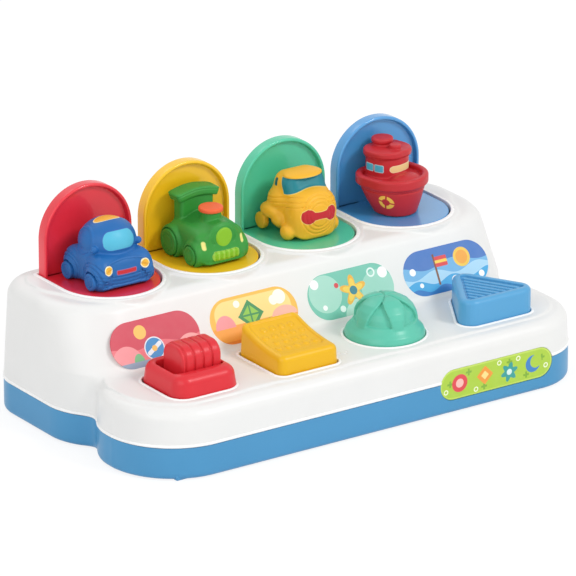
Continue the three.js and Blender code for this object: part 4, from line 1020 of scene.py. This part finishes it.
def boat():
    def hull(x, y, z):
        half = np.interp(z, [-1.0, 3.0, 8.0, 14.0, 18.0, 25.0], [11.6, 13.4, 15.8, 18.0, 19.2, 20.0])
        front = -np.interp(z, [-1.0, 8.0, 18.0, 25.0], [14.0, 16.6, 19.0, 20.2])
        back = np.interp(z, [-1.0, 8.0, 18.0, 25.0], [9.5, 14.5, 19.0, 20.6])
        plan = round_rect(x, y, half, front, back, half * 0.995, half * 0.7)
        return rounded(plan * 0.93, np.abs(z - 12.0) - 12.0, 1.0)

    def rail(x, y, z):
        plan = round_rect(x, y, 20.4, -20.2, 20.6, 20.0, 14.0)
        return rounded(np.abs(plan + 1.6) - 2.0, np.abs(z - 21.4) - 3.2, 1.4)

    def well(x, y, z):
        return np.maximum(round_rect(x, y, 17.0, -16.9, 17.0, 16.6, 11.0), 21.8 - z)

    body = Form(hull).cut(Form(well), 0.6).join(Form(rail), 0.5)
    body = body.groove(Form(lambda x, y, z: np.abs(z - 16.2) - 0.35), 0.4)
    body = body.join(ball((0, -8.5, 20.0), (12.5, 8.5, 5.0)), 1.5)
    cabin = Form(lambda x, y, z: rounded(
        round_rect(x - CABIN_SHIFT, y - 7.5, 12.6, -11.6, 11.0, 11.0, 7.0), np.abs(z - 26.5) - 8.5, 0.8))
    roof = Form(lambda x, y, z: rounded(
        round_rect(x - CABIN_SHIFT, y - 7.5, 14.4, -13.2, 12.6, 12.8, 9.0),
        np.abs(z - 35.4 - 0.8 * np.cos(np.clip(x / 14, -1, 1) * 1.5)) - 2.2, 1.1))
    roof = roof.groove(Form(lambda x, y, z: np.abs(z - 34.4) - 0.25), 0.4)
    funnel = cone((CABIN_SHIFT + 1, 13.2, 39.6), 5.6, 6.0, 3.2, 0.8)
    funnel = funnel.join(drum((CABIN_SHIFT + 1, 13.2, 41.4), 6.7, 1.4, 0.9, "z"), 0.3)
    knob = drum((CABIN_SHIFT - 0.4, 1.6, 39.4), 3.6, 1.9, 0.8, "z")
    whole = body.join(cabin, 0.8).join(roof, 0.4).join(funnel, 0.8).join(knob, 0.3)
    return whole.turned(BOAT_TURN).moved(*BOAT_SHIFT)


VEHICLES = {"car": car, "train": train, "plane": plane, "boat": boat}


def vehicle(bay, material):
    origin = np.array([bay_x[bay], bay_centre_y, vehicle_foot])
    form = VEHICLES[bay]().common(Form(lambda x, y, z: -z)).moved(*origin)
    piece = skin(f"{bay}_figure", form, origin + (-25.5, -22.5, -0.5), origin + (23.5, 23.0, 44.0),
                 FIGURE_CELL)
    settle(piece, f"{bay}_popup", material, f"{bay}_vehicle")


# Buttons

def slider_frame():
    x = bay_x["car"] + 0.9
    low, high = node_box("slider_frame")
    top = float(high[2])

    def outer(px, py, pz):
        taper = 0.15 * np.maximum(pz - DECK, 0)
        plan = round_rect(px - x, py - BUTTON_Y, FRAME_SIDE / 2, -FRAME_SIDE / 2, FRAME_SIDE / 2,
                          FRAME_CORNER, FRAME_CORNER)
        return rounded(plan + taper, np.abs(pz - (top + low[2]) / 2) - (top - low[2]) / 2, 5.4)

    well = block((x - 0.2, BUTTON_Y, top), (16.9, 12.4, 8.0), 3.6)
    form = Form(outer).cut(well, 1.4)
    return skin("slide_frame", form, low, high, BUTTON_CELL)


def slider_knob():
    """A block with a domed top, cut by grooves for the finger."""
    x, half_x, half_y, bottom = bay_x["car"] + 2.6, 13.5, 11.5, 49.9
    top = float(node_box("slider_knob")[1][2])
    middle, half = (top + bottom) / 2, (top - bottom) / 2

    def section(py, pz):
        return rounded(np.abs(py - BUTTON_Y) - half_y, np.abs(pz - middle) - half,
                       np.where(pz > middle, 8.6, 2.0))

    form = Form(lambda px, py, pz: rounded(section(py, pz), np.abs(px - x) - half_x, 2.6))
    for line in (-11.4, -5.4, 0.7, 6.8):
        form = form.groove(Form(lambda px, py, pz, at=x + line: np.abs(px - at) - 0.55), 1.1, 0.9)
    stem = drum((x, BUTTON_Y, 45.0), 3.0, 6.0, 0.4, "z")
    return skin("slide_knob", form.join(stem), (x - half_x, BUTTON_Y - half_y, 39.0),
                (x + half_x, BUTTON_Y + half_y, top), BUTTON_CELL)


def rocker_key():
    x = bay_x["train"]
    low, high = node_box("rocker_key")
    back = key_front_y + KEY_DEPTH

    def rise(py):
        share = np.clip((py - key_front_y) / KEY_DEPTH, 0, 1)
        return KEY_FRONT_TOP + (KEY_BACK_TOP - KEY_FRONT_TOP) * (0.1 * share + 0.9 * share ** 2.6)

    def outer(px, py, pz):
        taper = 0.04 * np.maximum(pz - DECK, 0)
        plan = round_rect(px - x, py, KEY_WIDTH / 2, key_front_y, back, KEY_CORNER, KEY_CORNER) + taper
        ends = rounded(plan, (pz - rise(py)) * 0.9, 3.2)
        return np.maximum(ends, PLUG_FOOT - pz)

    panel = Form(lambda px, py, pz: np.maximum(
        round_rect(px - x, py, KEY_WIDTH / 2 - 4.6, key_front_y + 8.0, back - 4.0, 6.0, 3.0),
        rise(py) - 5.0 - pz))
    form = Form(outer).groove(panel, 0.9, 1.0)
    dots = []
    for row in range(4):
        for column in range(5):
            shift = 3.2 if row % 2 else 0.0
            px, py = x - 12.8 + column * 6.4 + shift, key_front_y + 14.2 + row * 7.0
            if abs(px - x) < 15:
                dots.append((px, py))

    def studs(px, py, pz):
        near = np.minimum.reduce([lengths(px - a, py - b) for a, b in dots]) - 1.7
        return np.maximum(near, rise(py) - 5.0 - pz)

    form = form.ridge(Form(studs), 0.75, 0.9)
    return skin("rocker", form, (low[0], low[1], PLUG_FOOT), high, BUTTON_CELL)


def dial():
    x = bay_x["plane"]
    profile = [(0, 40), (DIAL_RADIUS, 40), (DIAL_RADIUS, 46.4), (23.2, 48.8), (21.2, 51.0), (19.9, 52.8),
               (19.7, 55.4), (19.0, 58.6), (17.3, 62.2), (14.2, 65.6), (9.8, 68.2), (5.0, 69.4),
               (0, DIAL_TOP)]
    outline = np.array(profile + [(-r, z) for r, z in reversed(profile[1:-1])])

    def outer(px, py, pz):
        return loop_distance(outline, lengths(px - x, py - BUTTON_Y), pz)

    def arches(px, py, pz):
        turn = np.arctan2(py - BUTTON_Y, px - x) - math.radians(DIAL_FACING)
        fifth = 2 * math.pi / 5
        turn = np.abs(np.mod(turn + fifth / 2, fifth) - fifth / 2)
        across = turn * np.minimum(lengths(px - x, py - BUTTON_Y), 19.0)
        share = np.clip((pz - 52.0) / 15.0, 0, 1)
        return np.maximum(across - 7.8 * (1 - share ** 1.8), 54.5 - pz)

    form = Form(outer).groove(Form(arches), 2.2, 2.4)
    return skin("dial", form, (x - DIAL_RADIUS, BUTTON_Y - DIAL_RADIUS, 40.0),
                (x + DIAL_RADIUS, BUTTON_Y + DIAL_RADIUS, DIAL_TOP), DIAL_CELL)


def triangle_button():
    x = bay_x["boat"]
    low, high = node_box("push_button")
    top = float(high[2])
    outer_loop = triangle_outline(steps=6)
    panel_loop = triangle_outline(0, 45.0, 2.6, steps=4)

    def outer(px, py, pz):
        across = np.abs(pz - (top + PLUG_FOOT) / 2) - (top - PLUG_FOOT) / 2
        return rounded(loop_distance(outer_loop, px - x, py), across, 3.0)

    form = Form(outer)
    panel = Form(lambda px, py, pz: np.maximum(loop_distance(panel_loop, px - x, py), top - 4.0 - pz))
    form = form.groove(panel, 2.0, 0.5)

    def bars(px, py, pz):
        along = (px - x) * math.sin(math.radians(60)) + (py - triangle_y) * math.cos(math.radians(60))
        bar = np.abs(np.mod(along + 2.2, 4.4) - 2.2) - 1.0
        inside = loop_distance(panel_loop, px - x, py) + 1.6
        return np.maximum(np.maximum(bar, inside), top - 4.0 - pz)

    form = form.ridge(Form(bars), 1.6, 0.5)
    return skin("triangle", form, (low[0], low[1], PLUG_FOOT), high, BUTTON_CELL)


# Labels

def label(name, length, height, levels, place, material, node):
    """A thin pill through levels with an inset and a lift each, which place() sets out."""
    outline = rect_outline(length / 2, -height / 2, height / 2, height / 2 - PILL_END, steps=24)
    rings = []
    for inset, lift in levels:
        u = outline[:, 0] * (1 - inset / (length / 2))
        v = outline[:, 1] * (1 - inset / (height / 2))
        rings.append(np.column_stack(place(u, v, lift)))
    piece = loft(name, rings)
    even_normals(piece, 30)
    settle(piece, "housing", material, node)


def panel_label(bay):
    """The label on the slope in front of a bay."""
    c, s = math.cos(slope_angle), math.sin(slope_angle)

    def place(u, v, lift):
        return u + bay_x[bay] + PANEL_SHIFT, panel_y + v * c - lift * s, panel_z + v * s + lift * c

    label(f"{bay}_panel", PANEL_LENGTH, PANEL_HEIGHT, ((0.0, -0.4), (0.0, 0.05), (0.12, 0.15)), place,
          panel_print(bay), f"{bay}_label")


def front_label():
    def place(u, v, lift):
        return u + front_label_x, np.full(len(u), front_label_y + lift), v + FRONT_LABEL_Z

    label("front_sticker", FRONT_LABEL_LENGTH, FRONT_LABEL_HEIGHT,
          ((0.0, LABEL_SINK), (0.0, 0.1), (0.12, 0.0)), place, front_print(), "front_label")


class Drawing:
    """Flat shapes laid over a colour, each given by a distance in millimetres.

    A mask, if any, keeps a shape to one side of the piece.
    """

    def __init__(self, finish, u, v, shade, mask=None, soft=0.1):
        self.finish, self.u, self.v, self.shade = finish, u, v, shade
        self.mask, self.soft = mask, soft

    def over(self, share, tint):
        self.shade = self.finish.mix(share, self.shade, colour(tint))
        return self

    def lay(self, distance, tint, mask=None):
        share, mask = self.finish.cover(distance, self.soft), mask or self.mask
        return self.over(share * mask if mask else share, tint)

    def disc(self, cx, cy, radius, tint):
        return self.lay(self.finish.length(self.u - cx, self.v - cy) - radius, tint)

    def hoop(self, cx, cy, radius, half, tint):
        return self.lay(abs(self.finish.length(self.u - cx, self.v - cy) - radius) - half, tint)

    def turned(self, cx, cy, angle):
        c, s = math.cos(math.radians(angle)), math.sin(math.radians(angle))
        u, v = self.u - cx, self.v - cy
        return u * c + v * s, v * c - u * s

    def bar(self, cx, cy, half_u, half_v, radius, tint, angle=0.0):
        u, v = self.turned(cx, cy, angle)
        return self.lay(self.finish.rect(u, v, half_u, half_v, radius), tint)

    def hill(self, cx, cy, half_u, half_v, tint):
        """An upright half ellipse that stands on its middle line."""
        u, v = (self.u - cx) / half_u, (self.v - cy) / half_v
        return self.lay(((self.finish.length(u, v) - 1) * min(half_u, half_v)).most(cy - self.v), tint)

    def wave(self, height, swing, pitch, shift, tint):
        """All that lies below a wavy line."""
        edge = self.finish.math("SINE", (self.u + shift) * (2 * math.pi / pitch)) * swing + height
        return self.lay(self.v - edge, tint)

    def star(self, cx, cy, radius, tint, points=5, depth=0.28):
        u, v = self.u - cx, self.v - cy
        turn = self.finish.math("ARCTAN2", v, u) * points
        reach = (self.finish.math("SINE", turn) * depth + (1 - depth)) * radius
        return self.lay(self.finish.length(u, v) - reach, tint)


def red_panel(art):
    art.wave(-2.0, 1.6, 34.0, 6.0, "E8707A")
    art.hill(-22.0, -14.7, 12.0, 15.0, "F1979B").hill(2.0, -14.7, 15.0, 11.0, "E9777F")
    art.hill(23.0, -14.7, 12.0, 14.0, "F4A6A4")
    art.disc(-9.0, 6.5, 4.2, "F7C65C")
    art.hill(13.0, -11.0, 4.2, 6.5, "4FA86A").hill(19.0, -11.0, 3.4, 4.6, "A9CF8D")
    art.hill(-14.0, -11.0, 3.6, 5.4, "6FBE84")
    art.bar(0.0, -12.8, 34.0, 2.6, 0.2, "8FA6BE")
    art.disc(-2.0, -4.6, 6.9, "EAF6FC").disc(-2.0, -4.6, 6.2, "2F8FD0")
    art.bar(-2.0, -4.6, 6.0, 1.3, 1.2, "EAF6FC", 30.0).disc(-2.0, -4.6, 1.8, "F7C65C")


def yellow_panel(art):
    art.bar(0.0, 1.5, 27.0, 10.6, 9.0, "FBE08A")
    art.bar(0.0, -9.0, 34.0, 6.0, 0.1, "F6A63A").bar(0.0, -13.6, 34.0, 1.6, 0.1, "E98A2E")
    art.hill(-21.0, -4.0, 7.0, 8.0, "F29A9E").hill(21.0, -4.0, 9.0, 6.0, "F6B9A6")
    art.disc(20.0, 7.6, 4.4, "FFFDF0").disc(15.6, 6.4, 3.0, "FFFDF0").disc(-10.0, 9.0, 2.2, "FFFDF0")
    art.bar(-2.0, 1.0, 6.4, 6.4, 0.8, "2E8F4E", 45.0).bar(-2.0, 1.0, 4.4, 4.4, 0.5, "8CCB3F", 45.0)
    art.bar(-2.0, 1.0, 9.0, 0.55, 0.3, "2E8F4E").bar(-2.0, 1.0, 0.55, 9.0, 0.3, "2E8F4E")
    art.disc(-4.6, -10.6, 1.5, "D9363E").disc(-0.4, -12.2, 1.5, "D9363E")
    art.hill(10.0, -9.6, 2.6, 6.4, "2F9A55").hill(14.4, -9.6, 2.1, 4.6, "7DBE4A")


def green_panel(art):
    art.disc(-18.0, 2.0, 11.5, "A7DCCB").disc(20.0, -3.0, 12.5, "9AD6C3").disc(3.0, -16.0, 11.0, "B7E3D2")
    art.disc(-24.0, 9.0, 3.0, "FFFFFF").disc(25.0, 7.0, 3.4, "FFFFFF").disc(-8.5, -9.0, 2.0, "E9F8F2")
    art.hoop(17.0, 8.5, 2.4, 0.5, "E9F8F2").disc(-20.5, -6.0, 1.6, "FFFFFF")
    art.star(2.0, 0.5, 9.6, "F3B52F").star(2.0, 0.5, 7.4, "FAD24A")
    art.disc(2.0, 0.5, 2.7, "188090")
    art.disc(-9.0, 5.6, 1.6, "D9363E").disc(13.0, -6.0, 1.6, "D9363E")


def blue_panel(art):
    art.wave(3.5, 2.2, 40.0, 4.0, "6FB4E2").wave(-1.5, 2.0, 31.0, 16.0, "A9D8F2")
    art.wave(-6.0, 1.8, 26.0, 3.0, "35A7DE").wave(-10.5, 1.4, 20.0, 9.0, "1E78C2")
    art.disc(13.0, 4.6, 6.0, "F7C948").disc(13.0, 4.6, 4.2, "F3A83A")
    art.bar(-7.0, 0.5, 0.7, 9.5, 0.3, "7A4A2A").bar(-2.2, 5.0, 4.4, 3.2, 0.6, "DE3B40")
    art.bar(-2.2, 5.0, 4.4, 0.9, 0.3, "F9D34E")
    art.disc(-24.0, 2.0, 2.2, "FFFFFF").disc(-20.0, -7.0, 1.4, "FFFFFF").disc(24.0, -8.0, 2.0, "FFFFFF")
    art.hoop(5.0, -8.5, 2.6, 0.5, "FFFFFF")


PANELS = {"car": (red_panel, "CF3A50"), "train": (yellow_panel, "F4BF45"),
          "plane": (green_panel, "6FC4AE"), "boat": (blue_panel, "3C74BE")}


def print_material(finish, shade):
    """Printed film: faint colour unevenness, fine grain and a soft gloss."""
    tone = finish.noise(120.0, 3.0)
    bump = finish.node("ShaderNodeBump", None, Height=finish.noise(1800.0, 2.0), Strength=0.06,
                       Distance=0.0002)
    return finish.ended(finish.node(
        "ShaderNodeBsdfPrincipled", None, Normal=bump.outputs[0], Roughness=0.34 + tone * 0.08,
        Base_Color=finish.mix(tone * 0.06, shade, colour("FFFFFF")), Specular_IOR_Level=0.4))


def panel_print(bay):
    draw, ground = PANELS[bay]
    finish = Finish(f"{bay}_panel_print", (bay_x[bay] + PANEL_SHIFT, panel_y, panel_z))
    along = finish.y * math.cos(slope_angle) + finish.z * math.sin(slope_angle)
    art = Drawing(finish, finish.x, along, colour(ground))
    draw(art)
    return print_material(finish, art.shade)


def front_print():
    finish = Finish("front_sticker_print", (front_label_x, front_label_y, FRONT_LABEL_Z))
    art = Drawing(finish, finish.x, finish.z, colour("AED136"))
    edge = finish.rect(finish.x, finish.z, FRONT_LABEL_LENGTH / 2 - 1.0, FRONT_LABEL_HEIGHT / 2 - 1.0,
                       FRONT_LABEL_HEIGHT / 2 - 1.01)
    art.lay(0 - edge, "C5E05A")
    for cx, cy in ((-34.0, 0.5), (-20.5, 5.6), (-9.0, -6.0), (9.5, 5.4), (22.0, -5.6), (33.5, 3.2)):
        art.bar(cx, cy, 2.1, 0.65, 0.2, "7FB028").bar(cx, cy, 0.65, 2.1, 0.2, "7FB028")
    for cx, cy in ((-37.0, -4.0), (-15.0, -6.6), (2.0, 6.4), (16.0, 6.2), (36.5, -2.5)):
        art.hoop(cx, cy, 1.3, 0.35, "F4FAD8")
    art.disc(-27.0, 0.0, 5.6, "E23C46").disc(-27.0, 0.0, 2.8, "F8C2B8")
    art.bar(-8.5, 1.0, 4.3, 4.3, 0.8, "F39A2C", 45.0).bar(-8.5, 1.0, 2.0, 2.0, 0.3, "FBE08A", 45.0)
    art.star(9.5, -1.0, 6.2, "1E9C97", 6, 0.2).disc(9.5, -1.0, 1.9, "D7F2EC")
    art.disc(27.0, 0.4, 5.4, "2E7FC8").disc(29.2, 1.6, 4.2, "AED136")
    return print_material(finish, art.shade)


# Painted places on the vehicles. Each takes the finish, with its origin under the middle of the
# vehicle, and the colour below the paint.

PAINT_EDGE = 0.14


def car_paint(finish, shade):
    x, y, z = finish.x, finish.y, finish.z
    art = Drawing(finish, x, z, shade, finish.cover(y + 2.0, 0.3), PAINT_EDGE)
    glass = finish.rect(x, z - 28.3 + x * x * 0.010, 10.7, 5.3, 4.8)
    art.lay(glass - 0.5, "2F62AE").lay(glass, "58BEDC")
    for side in (-1, 1):
        lamp_distance = finish.length(x - side * 12.7, z - 13.4)
        for radius, tint in ((3.3, "2C5A9E"), (2.9, "F6EFC0"), (2.3, "F2B93E")):
            art.lay(lamp_distance - radius, tint)
    bar = finish.rect(x, z - 10.6 - x * x * 0.006, 6.6, 1.15, 0.6)
    art.lay(bar - 0.4, "9C6F9E").lay(bar, "CB2F38")
    roof = finish.length(x / 8.2, (y - 2.6) / 4.2) * 4.2 - 4.2
    above = finish.cover(33.0 - z, 0.2)
    return art.lay(roof - 0.35, "F7E8B0", above).lay(roof, "F0AE3C", above).shade


def train_paint(finish, shade):
    x, y, z = finish.x, finish.y, finish.z
    art = Drawing(finish, x, z, shade, finish.cover(y + 9.0, 0.3), PAINT_EDGE)
    art.disc(0.0, 17.0, 5.7, "8AC528")
    for side in (-1, 1):
        lamp_distance = finish.rect(x - side * 13.5, z - 13.2, 0.95, 2.3, 0.9)
        art.lay(lamp_distance - 0.35, "C9D97A").lay(lamp_distance, "F3E98A")
    grille = finish.rect(x, z - 6.2 - x * x * 0.004, 9.6, 2.9, 2.7)
    slats = abs(finish.math("WRAP", x, 1.75, -1.75)) - 1.35
    art.lay(grille, "9CCB4A").lay((grille + 0.4).most(slats), "86C224")
    cap = finish.cover(29.4 - z, 0.15) * finish.cover(finish.length(x, y + 3.5) - 8.3, 0.2)
    return art.over(cap, "F2673A").shade


def plane_paint(finish, shade):
    x, y, z = finish.x, finish.y, finish.z
    art = Drawing(finish, x, z, shade, finish.cover(y + 6.0, 0.3), PAINT_EDGE)
    lobe = finish.length(abs(x) - 8.0, z - 15.9) - 4.5
    waist = (abs(z - 15.9) - 2.2 - x * x * 0.02).most(abs(x) - 7.0)
    screw = lobe.least(waist)
    art.lay(screw - 0.4, "F3D778").lay(screw, "C8262F")
    low, high = 31.0 - x * x * 0.018, 37.0 - x * x * 0.004
    glass = (low - z).most(z - high).most(y - 1.8 - (z - 30.0) * 0.5)
    whole = finish.cover(y - 5.8, 0.3)
    art.lay(glass - 0.3, "F3CE62", whole).lay(glass, "17808C", whole)
    side = finish.rect(y - 9.0, z - 32.4, 1.4, 2.4, 0.8)
    return art.lay(side, "12606A", finish.cover(9.0 - abs(x), 0.3)).shade


def boat_paint(finish, shade):
    c, s = math.cos(math.radians(BOAT_TURN)), math.sin(math.radians(BOAT_TURN))
    x, y, z = finish.x - BOAT_SHIFT[0], finish.y - BOAT_SHIFT[1], finish.z
    a, b = x * c + y * s, y * c - x * s
    art = Drawing(finish, a, z, shade, finish.cover(b + 0.5, 0.3), PAINT_EDGE)
    across = abs(a - CABIN_SHIFT)
    side = finish.cover(9.5 - across, 0.3) * finish.cover(across - 13.8, 0.3)
    for at in (4.6, 11.6):
        pane = finish.rect(b - at, z - 27.6, 2.7, 2.0, 0.4)
        art.lay(pane - 0.45, "B5E3EE", side).lay(pane, "4FBFDC", side)
    band = finish.rect(a - CABIN_SHIFT, z - 27.4, 8.6, 1.9, 1.8)
    art.lay(band - 0.3, "F7EBC0").lay(band, "F2DC9A")
    low = finish.cover(z - 15.8, 0.3)
    along, up = b + 6.6, z - 10.4
    ring = abs(finish.length(along, up) - 3.4) - 1.1
    gaps = abs(along + up * 0.25).least(abs(up - along * 0.25)) * -1.0 + 0.5
    for sign in (-1, 1):
        flank = finish.cover(abs(a - sign * 14.0) - 8.0, 0.3)
        art.lay(ring.most(gaps), "FFCB50", low * flank)
    return art.shade


PAINTS = {"car": car_paint, "train": train_paint, "plane": plane_paint, "boat": boat_paint}


# Materials

white = plastic("housing_white", "EBEBE9", 0.34, 0.04, wear=0.1)
# A lighter copy of the housing white, for the rims and the lip: a painted highlight, not a different
# plastic.
painted_highlight_white = plastic("painted_highlight_white", "FCFCFB", 0.28, 0.04, wear=0.1)
tray_blue = plastic("tray_blue", "4B95C4", 0.36, 0.3)
lid_red = plastic("lid_red", "E82B3B", 0.34, 0.3, coat=0.5)
lid_yellow = plastic("lid_yellow", "FFC61A", 0.34, 0.3, coat=0.5)
lid_green = plastic("lid_green", "4EC8A0", 0.34, 0.3, coat=0.5)
lid_blue = plastic("lid_blue", "4B9BD8", 0.34, 0.3, coat=0.8)
frame_red = plastic("frame_red", "DC2C36", 0.32, 0.3)
key_yellow = plastic("key_yellow", "EDB70C", 0.32, 0.3)
dial_green = plastic("dial_green", "5EC2A9", 0.32, 0.3)
triangle_blue = plastic("triangle_blue", "58A4D4", 0.32, 0.3)

LIDS = {"car": (lid_red, "red_plastic"), "train": (lid_yellow, "yellow_plastic"),
        "plane": (lid_green, "green_plastic"), "boat": (lid_blue, "blue_plastic")}
FIGURES = {"car": ("car_blue", "1E68AE"), "train": ("train_green", "349438"),
           "plane": ("plane_yellow", "F2B62A"), "boat": ("boat_red", "C62A32")}

housing()
tray()
for bay in BAYS:
    lid(bay, *LIDS[bay])
    slot_name, tint = FIGURES[bay]
    figure_origin = (bay_x[bay], bay_centre_y, vehicle_foot)
    vehicle(bay, plastic(f"{bay}_vinyl", tint, 0.45, 0.5, PAINTS[bay], figure_origin))
    panel_label(bay)
front_label()
settle(slider_frame(), "housing", frame_red, "slider_frame")
settle(slider_knob(), "slider", frame_red, "slider_knob")
settle(rocker_key(), "rocker", key_yellow, "rocker_key")
settle(dial(), "dial", dial_green, "dial_knob")
settle(triangle_button(), "button", triangle_blue, "push_button")

spring_steel = steel()
latch_grey = plastic("latch_grey", "B4B8BD", 0.5)
for node, piece in frame["nodes"].items():
    if not piece.hide_render:
        dress(piece, spring_steel if "spring" in node or "pin" in node else latch_grey)

# Stage: the camera, a pale floor and soft light
AZIMUTH, ELEVATION = -34.5, 20.9
LENS, SENSOR = 400.0, 36.0
PIXELS, PIXELS_PER_MM = 576, 1.671
aim = Vector((7.2, 13.0, 60.0)) * MM
LAMPS = (("key", (1.5, -2.9, 2.9), 68.0, 1.1), ("fill", (-1.7, -0.9, 1.1), 11.0, 1.5),
         ("back", (-0.2, 1.3, 1.9), 5.0, 1.0))
LAMP_AIM = (0, 0, 0.05)
SKY_LIGHT = 0.66
FLOOR_HALF = 12.0
FLOOR_GLOW, FLOOR_GLOW_SHARE = 1.08, 0.78


def camera():
    azimuth, elevation = math.radians(AZIMUTH), math.radians(ELEVATION)
    back = Vector((math.sin(azimuth) * math.cos(elevation), -math.cos(azimuth) * math.cos(elevation),
                   math.sin(elevation)))
    data = bpy.data.cameras.new("camera")
    data.lens, data.sensor_width = LENS, SENSOR
    distance = PIXELS / PIXELS_PER_MM * LENS / SENSOR * MM
    data.clip_start, data.clip_end = 0.1, 50.0
    eye = bpy.data.objects.new("camera", data)
    eye.location = aim + back * distance
    eye.rotation_mode = "QUATERNION"
    eye.rotation_quaternion = (-back).to_track_quat("-Z", "Y")
    bpy.context.scene.collection.objects.link(eye)
    bpy.context.scene.camera = eye


def lamp(name, place, power, size):
    data = bpy.data.lights.new(name, "AREA")
    data.energy, data.size = power, size
    light = bpy.data.objects.new(name, data)
    light.location = place
    light.rotation_mode = "QUATERNION"
    light.rotation_quaternion = (Vector(LAMP_AIM) - Vector(place)).to_track_quat("-Z", "Y")
    bpy.context.scene.collection.objects.link(light)


def floor():
    mesh = bpy.data.meshes.new("floor")
    corners = [(-FLOOR_HALF, -FLOOR_HALF, 0), (FLOOR_HALF, -FLOOR_HALF, 0),
               (FLOOR_HALF, FLOOR_HALF, 0), (-FLOOR_HALF, FLOOR_HALF, 0)]
    mesh.from_pydata(corners, [], [(0, 1, 2, 3)])
    ground = bpy.data.objects.new("floor", mesh)
    bpy.context.scene.collection.objects.link(ground)
    finish = Finish("floor_white")
    diffuse = finish.node("ShaderNodeBsdfDiffuse", None, Color=colour("F4F4F4"))
    glow = finish.node("ShaderNodeEmission", None, Color=colour("FFFFFF"), Strength=FLOOR_GLOW)
    dress(ground, finish.ended(finish.blend(finish.seen() * FLOOR_GLOW_SHARE, diffuse, glow)))


def world():
    sky = bpy.data.worlds.new("studio")
    bpy.context.scene.world = sky
    sky.use_nodes = True
    made = Nodes(sky.node_tree)
    light = made.node("ShaderNodeBackground", None, Color=colour("F6F6F7"), Strength=SKY_LIGHT)
    white_sky = made.node("ShaderNodeBackground", None, Color=colour("FFFFFF"), Strength=1.0)
    mixed = made.blend(made.seen(), light, white_sky)
    made.node("ShaderNodeOutputWorld", None, Surface=mixed.outputs[0])


camera()
world()
for lamp_name, place, power, size in LAMPS:
    lamp(lamp_name, place, power, size)
floor()
bpy.context.scene.view_settings.view_transform = "Standard"
